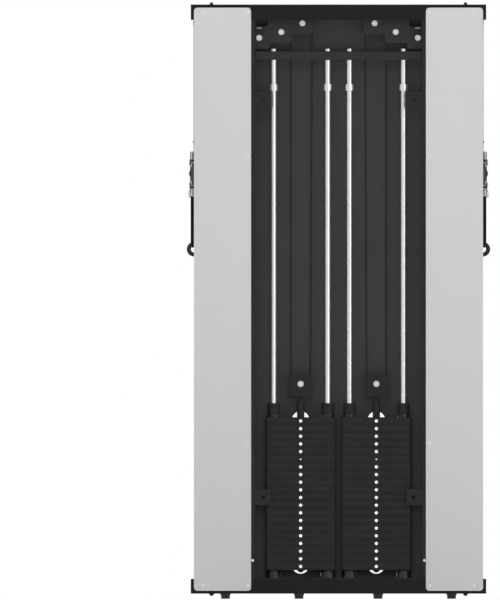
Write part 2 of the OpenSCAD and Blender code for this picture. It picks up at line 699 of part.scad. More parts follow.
module frame_bolts() color(frame_colour) on_plane() both_sides() for (y = [-frame_bolt_y, frame_bolt_y]) {
  bar_z([rail_x, y], frame_h, frame_h + frame_bolt_head_l, frame_bolt_head_r);
  bar_z([rail_x, y], channel_top_z - rail_plate_t, frame_h, frame_bolt_r);
  plate_z = beam_top_z + rail_plate_t;
  bar_z([rail_x, y], plate_z, plate_z + frame_bolt_head_l, frame_bolt_r + frame_bolt_gap - bolt_fit);
  bar_z([rail_x, y], foot_h - frame_nut_h - 1, plate_z, frame_bolt_r);
  bar_z([rail_x, y], foot_h - frame_washer_t, foot_h, frame_washer_r);
  translate([rail_x, y, foot_h - frame_nut_h])
    cylinder(h = frame_nut_h - frame_washer_t, r1 = frame_bolt_head_r - 1.5, r2 = frame_bolt_head_r + 1);
}

module pulley_axles() color(steel_colour) on_plane() both_sides() {
  for (c = [inner_c, middle_c, outer_c, bottom_c]) axle_bolt(c);
  // Head axle through the rail, with a spacer each side of the sheave
  bar_y(head_c, -rail_d / 2 - 4, rail_d / 2 + 3, axle_r);
  bar_y(head_c, -rail_d / 2 - 4, -rail_d / 2, axle_r + 3);
  for (side = [-1, 1]) {
    spacer = [sheave_w / 2 + 0.3, rail_d / 2 - rail_t];
    y = side > 0 ? spacer : [-spacer[1], -spacer[0]];
    bar_y(head_c, y[0], y[1], axle_r + 2.5);
  }
  // Bolt with a lens-shaped head that stands on the bracket's shelf
  bar_z(shelf_c, shelf_z - shelf_t, shelf_z + shelf_head_h / 2, shelf_bolt_r);
  ball_r = (pow(shelf_head_r, 2) + pow(shelf_head_h / 2, 2)) / shelf_head_h;
  lens_z = shelf_z + shelf_head_h / 2 - shelf_seat_d;
  difference() {
    intersection_for(side = [-1, 1])
      translate([shelf_c[0], shelf_c[1], lens_z + side * (ball_r - shelf_head_h / 2)]) sphere(r = ball_r);
    bar_z(shelf_c, shelf_z - 2 * shelf_t, shelf_z, shelf_head_r);
  }
}

// The stepped outline of the top pulley bracket
module top_bracket_area() {
  reach = sheave_rim_r + 0.5;
  corner = [bracket_round, bracket_round];
  difference() {
    intersection() {
      for (c = [inner_c, middle_c, outer_c])
        round_area(c - [reach, reach], [bay_half_w, channel_top_z] + corner, bracket_round);
      area([0, 0], [bay_half_w, channel_top_z]);
    }
    round_area([outer_c[0] - 30, outer_c[1] + sheave_rim_r + 2],
      [bay_half_w - 4, top_beam_z], 6);
  }
}

module bottom_bracket_area() {
  reach = 22;
  translate(bottom_c) circle(r = reach);
  area([bottom_c[0] - reach, beam_top_z + 8], [bottom_c[0] + reach, bottom_c[1]]);
  area([bottom_c[0] - 2 * reach, beam_top_z], [bottom_c[0] + 2 * reach, beam_top_z + 8]);
}

module pulley_brackets() color(frame_colour) on_plane() both_sides() {
  bracket_shelf();
  for (side = [0, 1]) mirror([0, side, 0]) bracket_cheek();
}

module bracket_cheek() difference() {
  plate_xz(cheek_y, cheek_out_y) {
    top_bracket_area();
    bottom_bracket_area();
  }
  for (c = [inner_c, middle_c, outer_c, bottom_c]) bar_y(c, cheek_y - cut, cheek_out_y + cut, axle_r + fit);
}

// The shelf bent out of the top bracket
module bracket_shelf() difference() {
  box([shelf_c[0] - shelf_half_w, -cheek_out_y - 2 * shelf_half_w, shelf_z - shelf_t],
      [bay_half_w, -cheek_out_y, shelf_z]);
  bar_z(shelf_c, shelf_z - shelf_t - cut, shelf_z + cut, shelf_bolt_r + fit);
}

// The plan of a weight plate, with its rod and stem holes
module plate_plan() difference() {
  w = plate_w / 2;
  d = plate_d / 2;
  polygon([[-w + plate_corner, -d], [w - plate_corner, -d], [w, -d + plate_corner], [w, d - plate_corner],
    [w - plate_corner, d], [-w + plate_corner, d], [-w, d - plate_corner], [-w, -d + plate_corner]]);
  circle(r = stem_hole_r);
  for (x = [-rod_offset, rod_offset]) translate([x, 0]) circle(r = rod_hole_r);
}

module weight_plates(first, last) for (i = [first:last]) difference() {
  z = first_plate_z + i * plate_pitch;
  translate([stack_x, 0, z]) linear_extrude(plate_t) plate_plan();
  bar_y([stack_x, z + plate_t / 2], -plate_d / 2 - cut, plate_d / 2 + cut, selector_hole_r);
}

module resting_weights() color(plate_colour) on_plane() both_sides() weight_plates(0, resting_n - 1);

module lifted_weights() color(plate_colour) {
  weight_plates(resting_n, plate_n - 1);
  for (x = rod_xs) difference() {
    bar_z([x, 0], stack_top_z, stack_top_z + bushing_h, bushing_r);
    bar_z([x, 0], stack_top_z - cut, stack_top_z + bushing_h + cut, rod_r + 2 * fit);
  }
}

module selector_stem() color(chrome_colour) {
  difference() {
    union() {
      bar_z([stack_x, 0], stem_bottom_z + stem_r, stem_top_z, stem_r);
      translate([stack_x, 0, stem_bottom_z + stem_r]) sphere(r = stem_r);
    }
    for (i = [0:plate_n - 1])
      bar_y([stack_x, first_plate_z + i * plate_pitch + plate_t / 2], -stem_r - cut, stem_r + cut, stem_cross_r);
  }
  bar_z([stack_x, 0], stem_top_z, yoke_z, stem_neck_r);
  box([stack_x - yoke_r, -cheek_out_y, yoke_z], [stack_x + yoke_r, cheek_out_y, yoke_z + yoke_t]);
  for (side = [0, 1]) mirror([0, side, 0]) plate_xz(cheek_y, cheek_out_y) {
    area([stack_x - yoke_r, yoke_z], [stack_x + yoke_r, yoke_arc_z]);
    translate([stack_x, yoke_arc_z]) circle(r = yoke_r);
  }
  axle_bolt(floating_c);
}

module selector_pin() color(chrome_colour) {
  bar_y([stack_x, selector_z], -selector_tip_y, selector_face_y + 1, selector_pin_r);
  bar_y([stack_x, selector_z], selector_face_y, selector_face_y + selector_knob_l, selector_knob_r);
}

module stack_cables() color(cable_colour) {
  a = left_tangent(floating_c, inner_c);
  arc_xz(floating_c, sheave_pitch_r, a, 360, cable_r);
  outer_x = stack_x + sheave_pitch_r;
  run_xz(polar(floating_c, sheave_pitch_r, a), polar(inner_c, sheave_pitch_r, a), cable_r, [1, 0]);
  run_xz([outer_x, floating_c[1]], [outer_x, middle_c[1]], cable_r, [1, 0]);
}

module fixed_cables() color(cable_colour) on_plane() both_sides() {
  a = left_tangent(floating_c, inner_c);
  b = left_tangent(middle_c, outer_c);
  arc_xz(inner_c, sheave_pitch_r, 90, a, cable_r);
  run_xz([inner_c[0], run_z], [head_c[0], run_z], cable_r);
  arc_xz(head_c, sheave_pitch_r, 0, 90, cable_r);
  arc_xz(middle_c, sheave_pitch_r, b, 180, cable_r);
  run_xz(polar(middle_c, sheave_pitch_r, b), polar(outer_c, sheave_pitch_r, b), cable_r);
  arc_xz(outer_c, sheave_pitch_r, 0, b, cable_r);
  run_xz([column_x, bottom_c[1]], [column_x, outer_c[1]], cable_r);
  arc_xz(bottom_c, sheave_pitch_r, 180, 360, cable_r);
}

module rail_cable() color(cable_colour) bar_z([cable_x, 0], rail_cable_z, head_c[1], cable_r);

module return_cable() color(cable_colour)
  bar_z([return_x, 0], bottom_c[1], lug_z - ferrule_h - cable_tip_gap, cable_r);

module carriage() color(frame_colour) {
  housing_y = sleeve_y + front_plate_t;
  difference() {
    union() {
      difference() {
        box([sleeve_in_x, -sleeve_y, carriage_z], [sleeve_out_x, sleeve_y, carriage_top_z]);
        box([rail_in_x - sleeve_gap_x, -rail_d / 2 - sleeve_gap_y, carriage_z - cut],
            [rail_out_x + sleeve_gap_x, rail_d / 2 + sleeve_gap_y, carriage_top_z + cut]);
      }
      glides();
      box([rail_in_x, sleeve_y, carriage_z], [rail_out_x, housing_y, carriage_top_z + front_plate_rise]);
      bar_y([rail_x, pop_pin_z], housing_y, pop_face_y, pop_housing_r);
    }
    bar_y([rail_x, pop_pin_z], rail_d / 2, pop_face_y + cut, pop_pin_r + fit);
    bar_y([rail_x, pop_pin_z], pop_face_y - pop_counter_d, pop_face_y + cut, pop_body_r + 0.3);
  }
  hinge();
  // Eye for the rail cable
  difference() {
    union() {
      box([sleeve_out_x, -eye_ear_r, carriage_top_z - eye_ear_t], [cable_x, eye_ear_r, carriage_top_z]);
      bar_z([cable_x, 0], carriage_top_z - eye_ear_t, carriage_top_z, eye_ear_r);
    }
    bar_z([cable_x, 0], carriage_top_z - eye_ear_t - cut, carriage_top_z + cut, eye_hole_r);
  }
  // Lug for the return cable
  box([return_x - 8, -8, lug_z], [sleeve_in_x, 8, lug_z + lug_t]);
  bar_z([return_x, 0], lug_z - ferrule_h, lug_z, ferrule_r);
}

// Slide pads at the top and bottom of the sleeve
module glides() for (z = [carriage_z, carriage_top_z - 40]) difference() {
  box([rail_in_x - sleeve_gap_x, -rail_d / 2 - sleeve_gap_y, z],
      [rail_out_x + sleeve_gap_x, rail_d / 2 + sleeve_gap_y, z + 40]);
  box([rail_in_x - glide_clear, -rail_d / 2 - glide_clear, z - cut],
      [rail_out_x + glide_clear, rail_d / 2 + glide_clear, z + 40 + cut]);
}

// Hinge ears, washers and pin
module hinge() {
  for (side = [-1, 1]) {
    z0 = side > 0 ? swivel_z + ear_gap_z : swivel_z - ear_gap_z - ear_t;
    box([sleeve_out_x, -hinge_ear_r, z0], [cable_x, hinge_ear_r, z0 + ear_t]);
    bar_z([cable_x, 0], z0, z0 + ear_t, hinge_ear_r);
    washer_z = side > 0 ? swivel_z + knuckle_half_h + fit : swivel_z - ear_gap_z;
    bar_z([cable_x, 0], washer_z, washer_z + ear_gap_z - knuckle_half_h - fit, washer_r);
  }
  bar_z([cable_x, 0], swivel_z - ear_gap_z - ear_t - 4, swivel_z + ear_gap_z + ear_t + 2, hinge_pin_r);
  bar_z([cable_x, 0], swivel_z - ear_gap_z - ear_t - 4, swivel_z - ear_gap_z - ear_t, hinge_pin_r + 2);
}

module pop_pin() color(chrome_colour) translate([rail_x, 0, pop_pin_z]) rotate([-90, 0, 0]) {
  translate([0, 0, pop_tip_y]) cylinder(h = pop_face_y - pop_tip_y, r = pop_pin_r);
  translate([0, 0, pop_face_y]) cylinder(h = pop_body_l, r = pop_body_r);
  translate([0, 0, pop_face_y + pop_body_l])
    cylinder(h = pop_flange_l - 2.5, r1 = pop_body_r, r2 = pop_flange_r);
  translate([0, 0, pop_face_y + pop_body_l + pop_flange_l - 2.5]) cylinder(h = 2.5, r = pop_flange_r);
}

// The two-lobed plate of the swivel bracket, drawn in Y and Z
module swivel_area() {
  for (c = [upper_c, lower_c]) translate(c) circle(r = swivel_disc_r);
  area([13, swivel_z - 29], [swivel_reach, swivel_z + 31]);
}

module swivel_bracket() color(frame_colour) {
  difference() {
    union() {
      for (x = [cable_x - swivel_cheek_x - cheek_t, cable_x + swivel_cheek_x])
        plate_yz(x, x + cheek_t) swivel_area();
      box([cable_x - swivel_cheek_x, 5, swivel_z - 25], [cable_x + swivel_cheek_x, 19, swivel_z + 25]);
      bar_z([cable_x, 0], swivel_z - knuckle_half_h, swivel_z + knuckle_half_h, knuckle_r);
    }
    bar_z([cable_x, 0], swivel_z - knuckle_half_h - cut, swivel_z + knuckle_half_h + cut, hinge_pin_r + fit);
  }
  for (c = [upper_c, lower_c]) {
    axle_x = swivel_cheek_x + cheek_t;
    bar_x(c, cable_x - axle_x, cable_x + axle_x, swivel_axle_r);
    for (x = [cable_x - axle_x - 3, cable_x + axle_x]) bar_x(c, x, x + 3, swivel_axle_r + 5.5);
  }
}

module swivel_cable() color(cable_colour) {
  entry = [0, cable_entry_z];
  way = upper_c - entry;
  bearing = atan2(way[1], way[0]) - asin(swivel_pitch_r / norm(way));
  tangent_l = sqrt(pow(norm(way), 2) - pow(swivel_pitch_r, 2));
  touch = polar(entry, tangent_l, bearing);
  run_yz(cable_x, entry, touch, cable_r, [0, 1]);
  arc_yz(cable_x, upper_c, swivel_pitch_r, bearing + 270, 270, cable_r);
  run_yz(cable_x, [swivel_reach, pull_z], [stop_y, pull_z], cable_r, [1, 0]);
}

// The stop is turned about Y: each point is [radius, distance from the cable end]
module cable_stop() color(rubber_colour) {
  tail = stop_l - 5;
  translate([cable_x, stop_y, pull_z]) rotate([-90, 0, 0]) rotate_extrude()
    polygon([[0, 0], [cable_r + 0.3, 0], [cable_r + 3.3, 5], [stop_r - 8.5, 10.2], [stop_r - 0.9, 17.5],
      [stop_r, 21], [stop_r - 3, tail], [stop_r - 6.5, stop_l], [0, stop_l]]);
  bar_y([cable_x, pull_z], stop_end_y, stop_end_y + eye_shank_l, eye_wire_r + 0.3);
  translate([cable_x, eye_c[0], eye_c[1]]) rotate([eye_tilt, 0, 0])
    rotate_extrude() translate([eye_r, 0]) circle(r = eye_wire_r);
}

module carabiner() color(chrome_colour) {
  a = carabiner_taper;
  arc_yz(cable_x, carabiner_c, carabiner_top_r, -a, 180 + a, carabiner_wire_r);
  arc_yz(cable_x, carabiner_low_c, carabiner_bottom_r, 180 + a, 360 - a, carabiner_wire_r);
  for (angle = [-a, 180 + a])
    run_yz(cable_x, polar(carabiner_low_c, carabiner_bottom_r, angle),
      polar(carabiner_c, carabiner_top_r, angle), carabiner_wire_r);
}

module strap() color(rubber_colour) {
  // D ring
  translate([0, handle_y, 0]) {
    arc_xz([cable_x, d_ring_z], d_ring_r, 0, 180, d_ring_wire_r);
    for (x = [cable_x - d_ring_r, cable_x + d_ring_r]) {
      bar_z([x, 0], d_ring_bar_z, d_ring_z, d_ring_wire_r);
      translate([x, 0, d_ring_bar_z]) sphere(r = d_ring_wire_r);
    }
  }
  bar_x([handle_y, d_ring_bar_z], cable_x - d_ring_r, cable_x + d_ring_r, d_ring_wire_r);
  // Sewn neck and the two legs
  box([cable_x - strap_w / 2, handle_y - neck_half_t, neck_z],
      [cable_x + strap_w / 2, handle_y + neck_half_t, neck_top_z]);
  corner_z = shoulder_z - 10.5;
  for (side = [-1, 1]) plate_yz(cable_x - strap_w / 2, cable_x + strap_w / 2)
    translate([handle_y, 0])
      polygon(ribbon([[side * 1.2, neck_z + 1], [side * shoulder_y, shoulder_z],
        [side * corner_y, corner_z]], strap_t));
  // The narrower band through the grip
  lead = [corner_y - 1, corner_z + 1.75];
  half = [lead, [corner_y, corner_z], [corner_y - 0.5, corner_z - 7], [corner_y - 5.5, bore_strap_z]];
  plate_yz(cable_x - bore_strap_w / 2, cable_x + bore_strap_w / 2) translate([handle_y, 0])
    polygon(ribbon(concat(half, [for (i = [len(half) - 1:-1:0]) [-half[i][0], half[i][1]]]), strap_t));
}

// The grip is turned about Y: each point is [radius, distance from the middle]
module grip() color(rubber_colour) translate([cable_x, handle_y, grip_z]) rotate([-90, 0, 0])
  rotate_extrude() {
    flange_y = grip_half_l - grip_flange_t;
    neck_r = grip_r - 3.5;
    half = [[grip_bore_r, grip_half_l], [grip_flange_r, grip_half_l], [grip_flange_r, flange_y],
      [grip_flange_r - 2, flange_y - 1], [neck_r, flange_y - 5], [neck_r, flange_y - 7],
      [grip_r - 1, flange_y - 10], [grip_r - 0.3, flange_y / 2], [grip_r, flange_y / 4]];
    polygon(concat(half, [for (i = [len(half) - 1:-1:0]) [half[i][0], -half[i][1]]]));
  }

module left_stack_cables() on_left() stack_cables();
module right_stack_cables() on_right() stack_cables();
module left_rail_cable() on_left() rail_cable();
module right_rail_cable() on_right() rail_cable();
module left_return_cable() on_left() return_cable();
module right_return_cable() on_right() return_cable();
module left_top_inner_sheave() on_left() frame_sheave(inner_c);
module right_top_inner_sheave() on_right() frame_sheave(inner_c);
module left_top_middle_sheave() on_left() frame_sheave(middle_c);
module right_top_middle_sheave() on_right() frame_sheave(middle_c);
module left_top_outer_sheave() on_left() frame_sheave(outer_c);
module right_top_outer_sheave() on_right() frame_sheave(outer_c);
module left_rail_head_sheave() on_left() frame_sheave(head_c);
module right_rail_head_sheave() on_right() frame_sheave(head_c);
module left_bottom_sheave() on_left() frame_sheave(bottom_c);
module right_bottom_sheave() on_right() frame_sheave(bottom_c);
module left_floating_sheave() on_left() frame_sheave(floating_c);
module right_floating_sheave() on_right() frame_sheave(floating_c);
module left_swivel_upper_sheave() on_left() swivel_sheave(upper_c);
module right_swivel_upper_sheave() on_right() swivel_sheave(upper_c);
module left_swivel_lower_sheave() on_left() swivel_sheave(lower_c);
module right_swivel_lower_sheave() on_right() swivel_sheave(lower_c);
module left_lifted_weights() on_left() lifted_weights();
module right_lifted_weights() on_right() lifted_weights();
module left_selector_stem() on_left() selector_stem();
module right_selector_stem() on_right() selector_stem();
module left_selector_pin() on_left() selector_pin();
module right_selector_pin() on_right() selector_pin();
module left_carriage() on_left() carriage();
module right_carriage() on_right() carriage();
module left_pop_pin() on_left() pop_pin();
module right_pop_pin() on_right() pop_pin();
module left_swivel_bracket() on_left() swivel_bracket();
module right_swivel_bracket() on_right() swivel_bracket();
module left_swivel_cable() on_left() swivel_cable();
module right_swivel_cable() on_right() swivel_cable();
module left_cable_stop() on_left() cable_stop();
module right_cable_stop() on_right() cable_stop();
module left_carabiner() on_left() carabiner();
module right_carabiner() on_right() carabiner();
module left_strap() on_left() strap();
module right_strap() on_right() strap();
module left_grip() on_left() grip();
module right_grip() on_right() grip();

top_beam();
bottom_beam();
inner_walls();
front_cover();
rear_panels();
carriage_rails();
crossbar();
guide_rods();
stack_bumpers();
levelling_feet();
frame_bolts();
pulley_axles();
panel_screws();
pulley_brackets();
resting_weights();
fixed_cables();
left_stack_cables();
right_stack_cables();
left_rail_cable();
right_rail_cable();
left_return_cable();
right_return_cable();
left_top_inner_sheave();
right_top_inner_sheave();
left_top_middle_sheave();
right_top_middle_sheave();
left_top_outer_sheave();
right_top_outer_sheave();
left_rail_head_sheave();
right_rail_head_sheave();
left_bottom_sheave();
right_bottom_sheave();
left_floating_sheave();
right_floating_sheave();
left_swivel_upper_sheave();
right_swivel_upper_sheave();
left_swivel_lower_sheave();
right_swivel_lower_sheave();
left_lifted_weights();
right_lifted_weights();
left_selector_stem();
right_selector_stem();
left_selector_pin();
right_selector_pin();
left_carriage();
right_carriage();
left_pop_pin();
right_pop_pin();
left_swivel_bracket();
right_swivel_bracket();
left_swivel_cable();
right_swivel_cable();
left_cable_stop();
right_cable_stop();
left_carabiner();
right_carabiner();
left_strap();
right_strap();
left_grip();
right_grip();
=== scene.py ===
import math
import bmesh
import bpy
from mathutils import Matrix, Vector


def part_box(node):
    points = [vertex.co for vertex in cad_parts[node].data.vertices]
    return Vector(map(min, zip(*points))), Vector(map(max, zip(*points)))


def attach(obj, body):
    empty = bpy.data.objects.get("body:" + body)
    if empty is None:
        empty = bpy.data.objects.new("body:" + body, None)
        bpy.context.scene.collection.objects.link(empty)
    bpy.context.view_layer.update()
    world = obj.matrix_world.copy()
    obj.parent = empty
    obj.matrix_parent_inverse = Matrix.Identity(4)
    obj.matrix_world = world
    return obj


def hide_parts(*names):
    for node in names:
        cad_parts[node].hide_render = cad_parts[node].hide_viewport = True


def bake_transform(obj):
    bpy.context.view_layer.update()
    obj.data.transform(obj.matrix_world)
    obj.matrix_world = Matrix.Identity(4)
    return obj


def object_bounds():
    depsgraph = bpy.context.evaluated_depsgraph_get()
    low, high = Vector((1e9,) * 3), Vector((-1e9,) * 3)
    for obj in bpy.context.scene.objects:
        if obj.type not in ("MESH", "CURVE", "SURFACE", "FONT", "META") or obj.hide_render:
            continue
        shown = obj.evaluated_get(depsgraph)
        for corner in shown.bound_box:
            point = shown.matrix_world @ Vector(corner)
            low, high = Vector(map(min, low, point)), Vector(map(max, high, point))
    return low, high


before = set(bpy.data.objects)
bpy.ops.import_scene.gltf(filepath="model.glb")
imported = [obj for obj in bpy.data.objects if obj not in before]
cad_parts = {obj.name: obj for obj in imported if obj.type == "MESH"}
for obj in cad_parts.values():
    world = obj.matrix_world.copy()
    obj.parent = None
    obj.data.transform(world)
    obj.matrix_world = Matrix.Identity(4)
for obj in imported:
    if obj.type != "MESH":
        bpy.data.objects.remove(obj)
cad_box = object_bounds()

# Sizes in metres. Places are taken from the frame: the rail plane is the middle of the guide rods.
MM = 0.001
SIDES = {"left": -1, "right": 1}
CABLE_R = 2.5 * MM
# Height of a sheave's rim above the cable's middle
SHEAVE_LIP = 4 * MM
SWIVEL_LIP = 1 * MM
# Outer faces of the pulley brackets, front cover, rear panels and inner walls, from the rail plane
CHEEK_OUT = 13.5 * MM
FRONT_Y = 58 * MM
REAR_Y = -61 * MM
WALL_Y = -53 * MM


def low(name):
    return Vector(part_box(name)[0])


def high(name):
    return Vector(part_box(name)[1])


def centre(name):
    return (low(name) + high(name)) / 2


def half_height(name):
    return (high(name).z - low(name).z) / 2


# Weight plates, and what else is measured once
PLATE_N = 20
PLATE_GAP = 0.3 * MM
ROD_OFFSET = 94.5 * MM
BUSHING_L = 48.9 * MM
PLATES_LOW = low("resting_weights").z
PLATES_HIGH = high("right_lifted_weights").z - BUSHING_L
PLATE_PITCH = (PLATES_HIGH - PLATES_LOW + PLATE_GAP) / PLATE_N
PLANE_Y = centre("guide_rods").y
CABLE_X = centre("right_rail_cable").x
RAIL_HALF_W = 40 * MM
RAIL_X = high("carriage_rails").x - RAIL_HALF_W
RETURN_X = centre("right_return_cable").x
STACK_X = centre("right_lifted_weights").x
HANDLE_Y = centre("right_carabiner").y - PLANE_Y


def spot(side, x, y, z):
    """A point given for the right-hand side, with y from the rail plane."""
    return Vector((SIDES[side] * x, PLANE_Y + y, z))


def sheave_at(name):
    return Vector((centre("right_" + name).x, centre("right_" + name).z))


def swivel_sheave_at(name):
    return Vector((centre("right_" + name).y - PLANE_Y, centre("right_" + name).z))


SHEAVES = ["top_inner_sheave", "top_middle_sheave", "top_outer_sheave", "rail_head_sheave", "bottom_sheave",
           "floating_sheave", "swivel_upper_sheave", "swivel_lower_sheave"]
# Middles of the sheaves: (x, z) in the frame, and (y, z) on the swivel
inner_c, middle_c, outer_c, head_c, bottom_c, floating_c = [sheave_at(name) for name in SHEAVES[:6]]
upper_c, lower_c = [swivel_sheave_at(name) for name in SHEAVES[6:]]
pitch_r = half_height("right_top_inner_sheave") - SHEAVE_LIP
swivel_r = half_height("right_swivel_upper_sheave") - SWIVEL_LIP
pull_z = upper_c[1] - swivel_r


# Camera at the photograph's view, from the wall side
PHOTO_W = 500
PHOTO_H = 600
PIXEL = 3.5 * MM
CENTRE_COLUMN = 338.5
FLOOR_ROW = 598.8
CAMERA_Y = -6


def make_camera():
    data = bpy.data.cameras.new("camera")
    data.type = "ORTHO"
    data.sensor_fit = "VERTICAL"
    data.ortho_scale = PHOTO_H * PIXEL
    camera = bpy.data.objects.new("camera", data)
    camera.location = ((PHOTO_W / 2 - CENTRE_COLUMN) * PIXEL, CAMERA_Y, (FLOOR_ROW - PHOTO_H / 2) * PIXEL)
    camera.rotation_euler = (math.radians(90), 0, 0)
    bpy.context.scene.collection.objects.link(camera)
    bpy.context.scene.camera = camera


# Node trees
def linear(value):
    """A screen grey from 0 to 255 as a linear value."""
    level = value / 255
    return level / 12.92 if level <= 0.04045 else ((level + 0.055) / 1.055) ** 2.4


def grey(value, red=0, blue=0):
    return (linear(value + red), linear(value), linear(value + blue))


def add_node(tree, kind, inputs=None, **settings):
    made = tree.nodes.new(kind)
    for key, value in settings.items():
        setattr(made, key, value)
    for key, value in (inputs or {}).items():
        made.inputs[key].default_value = value
    return made


# A wave texture of scale 1 runs through this many radians in one unit of length
WAVE_STEP = 20


class Finish:
    """A material whose colour, roughness and surface come from procedural layers."""

    def __init__(self, name, colour, roughness, **socket_shade):
        self.material = bpy.data.materials.new(name)
        self.material.use_nodes = True
        self.tree = self.material.node_tree
        self.shader = self.tree.nodes["Principled BSDF"]
        self.colour = (*colour, 1)
        self.shader.inputs["Base Color"].default_value = self.colour
        self.shader.inputs["Roughness"].default_value = roughness
        for key, value in socket_shade.items():
            self.shader.inputs[key.replace("_", " ")].default_value = value
        self.coords = add_node(self.tree, "ShaderNodeTexCoord").outputs["Object"]
        self.normal = None

    def link(self, a, b):
        self.tree.links.new(a, b)

    def noise(self, scale, detail=3, stretch=(1, 1, 1)):
        placed = add_node(self.tree, "ShaderNodeMapping", {"Scale": stretch})
        made = add_node(self.tree, "ShaderNodeTexNoise",
                        {"Scale": scale, "Detail": detail, "Roughness": 0.5})
        self.link(self.coords, placed.inputs["Vector"])
        self.link(placed.outputs["Vector"], made.inputs["Vector"])
        return made.outputs["Fac"]

    def waves(self, scale, direction, distortion=0, phase=0):
        made = add_node(self.tree, "ShaderNodeTexWave",
                        {"Scale": scale, "Distortion": distortion, "Phase Offset": phase},
                        bands_direction=direction, wave_profile="SIN")
        self.link(self.coords, made.inputs["Vector"])
        return made.outputs["Fac"]

    def vary_colour(self, source, darker, lighter, start=0.3, end=0.7):
        ramp = add_node(self.tree, "ShaderNodeValToRGB")
        for element, place, gain in zip(ramp.color_ramp.elements, (start, end), (darker, lighter)):
            element.position = place
            element.color = [min(1, c * gain) for c in self.colour[:3]] + [1]
        self.link(source, ramp.inputs["Fac"])
        self.link(ramp.outputs["Color"], self.shader.inputs["Base Color"])
        return self

    def darken(self, source, least, end):
        """Takes the colour down to a share where the source is 0, and leaves it alone from end upwards."""
        spread = add_node(self.tree, "ShaderNodeMapRange",
                          {"From Max": end, "To Min": least, "To Max": 1.0})
        shaded = add_node(self.tree, "ShaderNodeVectorMath", operation="SCALE")
        self.link(source, spread.inputs["Value"])
        self.link(self.shader.inputs["Base Color"].links[0].from_socket, shaded.inputs[0])
        self.link(spread.outputs["Result"], shaded.inputs["Scale"])
        self.link(shaded.outputs["Vector"], self.shader.inputs["Base Color"])
        return self

    def vary_roughness(self, source, lowest, highest):
        spread = add_node(self.tree, "ShaderNodeMapRange", {"To Min": lowest, "To Max": highest})
        self.link(source, spread.inputs["Value"])
        self.link(spread.outputs["Result"], self.shader.inputs["Roughness"])
        return self

    def bump(self, source, height):
        made = add_node(self.tree, "ShaderNodeBump", {"Distance": height, "Strength": 1.0})
        self.link(source, made.inputs["Height"])
        if self.normal:
            self.link(self.normal, made.inputs["Normal"])
        self.normal = made.outputs["Normal"]
        self.link(self.normal, self.shader.inputs["Normal"])
        return self


def powder_coat(name, colour, roughness, specular):
    """Baked powder paint: a fine orange peel, with slightly cloudy colour."""
    finish = Finish(name, colour, roughness, Specular_IOR_Level=specular)
    peel = finish.noise(900, 2)
    finish.vary_colour(finish.noise(6, 4), 0.94, 1.06)
    finish.vary_roughness(finish.noise(30, 3), roughness - 0.06, roughness + 0.06)
    return finish.bump(peel, 0.00008).material


def silver_paint(name, colour, shade_at_floor):
    """Satin silver paint with fine metal flakes, and painted shade that darkens it towards the floor."""
    finish = Finish(name, colour, 0.42, Metallic=0.15, Specular_IOR_Level=0.4)
    place = add_node(finish.tree, "ShaderNodeSeparateXYZ")
    flakes = finish.noise(1400, 2)
    blend = add_node(finish.tree, "ShaderNodeMath", {1: 0.06}, operation="MULTIPLY")
    # Painted shade: the colour falls from 0.95 of itself at the top to the given share at the floor
    painted_shade = add_node(finish.tree, "ShaderNodeMapRange",
                    {"From Max": cad_box[1][2], "To Min": shade_at_floor, "To Max": 0.95})
    flakes_and_painted_shade = add_node(finish.tree, "ShaderNodeMath", operation="ADD")
    finish.link(finish.coords, place.inputs["Vector"])
    finish.link(place.outputs["Z"], painted_shade.inputs["Value"])
    finish.link(flakes, blend.inputs[0])
    finish.link(painted_shade.outputs["Result"], flakes_and_painted_shade.inputs[0])
    finish.link(blend.outputs["Value"], flakes_and_painted_shade.inputs[1])
    finish.vary_colour(flakes_and_painted_shade.outputs["Value"], 0.0, 1.0, 0.0, 1.0)
    finish.vary_roughness(finish.noise(12, 3), 0.36, 0.48)
    return finish.bump(flakes, 0.00004).material


def painted_iron(name, colour, pitch, first):
    """Cast iron under matt paint, slightly pitted, with painted shade where one plate meets the next."""
    finish = Finish(name, colour, 0.6, Specular_IOR_Level=0.2)
    finish.vary_colour(finish.noise(18, 5), 0.88, 1.12)
    turns = math.tau / pitch
    # Painted shade: dark bands along Z where the plates meet
    joint_shade = finish.waves(turns / WAVE_STEP, "Z", phase=-math.pi / 2 - turns * first)
    finish.darken(joint_shade, 0.3, 0.03)
    finish.vary_roughness(finish.noise(40, 3), 0.52, 0.7)
    return finish.bump(finish.noise(420, 4), 0.00018).material


def polished(name, colour, roughness, stretch=(1, 1, 1), streak=0.00001, metallic=1.0):
    """Bright metal with the fine lines that its making leaves."""
    finish = Finish(name, colour, roughness, Metallic=metallic)
    lines = finish.noise(700, 2, stretch)
    finish.vary_colour(finish.noise(15, 3), 0.96, 1.03)
    finish.vary_roughness(lines, max(0.02, roughness - 0.05), roughness + 0.06)
    return finish.bump(lines, streak).material


def soft_rubber(name, colour, roughness, pores=0.00012, scale=900):
    """Rubber or foam with fine pores."""
    finish = Finish(name, colour, roughness, Specular_IOR_Level=0.3)
    finish.vary_colour(finish.noise(60, 4), 0.85, 1.15)
    finish.vary_roughness(finish.noise(35, 3), roughness - 0.08, roughness + 0.1)
    return finish.bump(finish.noise(scale, 3), pores).material


def moulded(name, colour, roughness=0.4, specular=0.45):
    """Turned or moulded nylon with faint turning lines."""
    finish = Finish(name, colour, roughness, Specular_IOR_Level=specular)
    finish.vary_colour(finish.noise(40, 3), 0.95, 1.04)
    finish.vary_roughness(finish.noise(70, 2), roughness - 0.07, roughness + 0.07)
    return finish.bump(finish.noise(600, 2), 0.00005).material


def webbing(name, colour):
    """Woven polyester: ribs along the band and picks across it."""
    finish = Finish(name, colour, 0.8, Specular_IOR_Level=0.12, Sheen_Weight=0.05, Sheen_Roughness=0.4)
    ribs = finish.waves(260, "X")
    picks = finish.waves(420, "Z", distortion=0.4)
    finish.vary_colour(picks, 0.75, 1.35)
    finish.bump(ribs, 0.00025)
    return finish.bump(picks, 0.00015).material


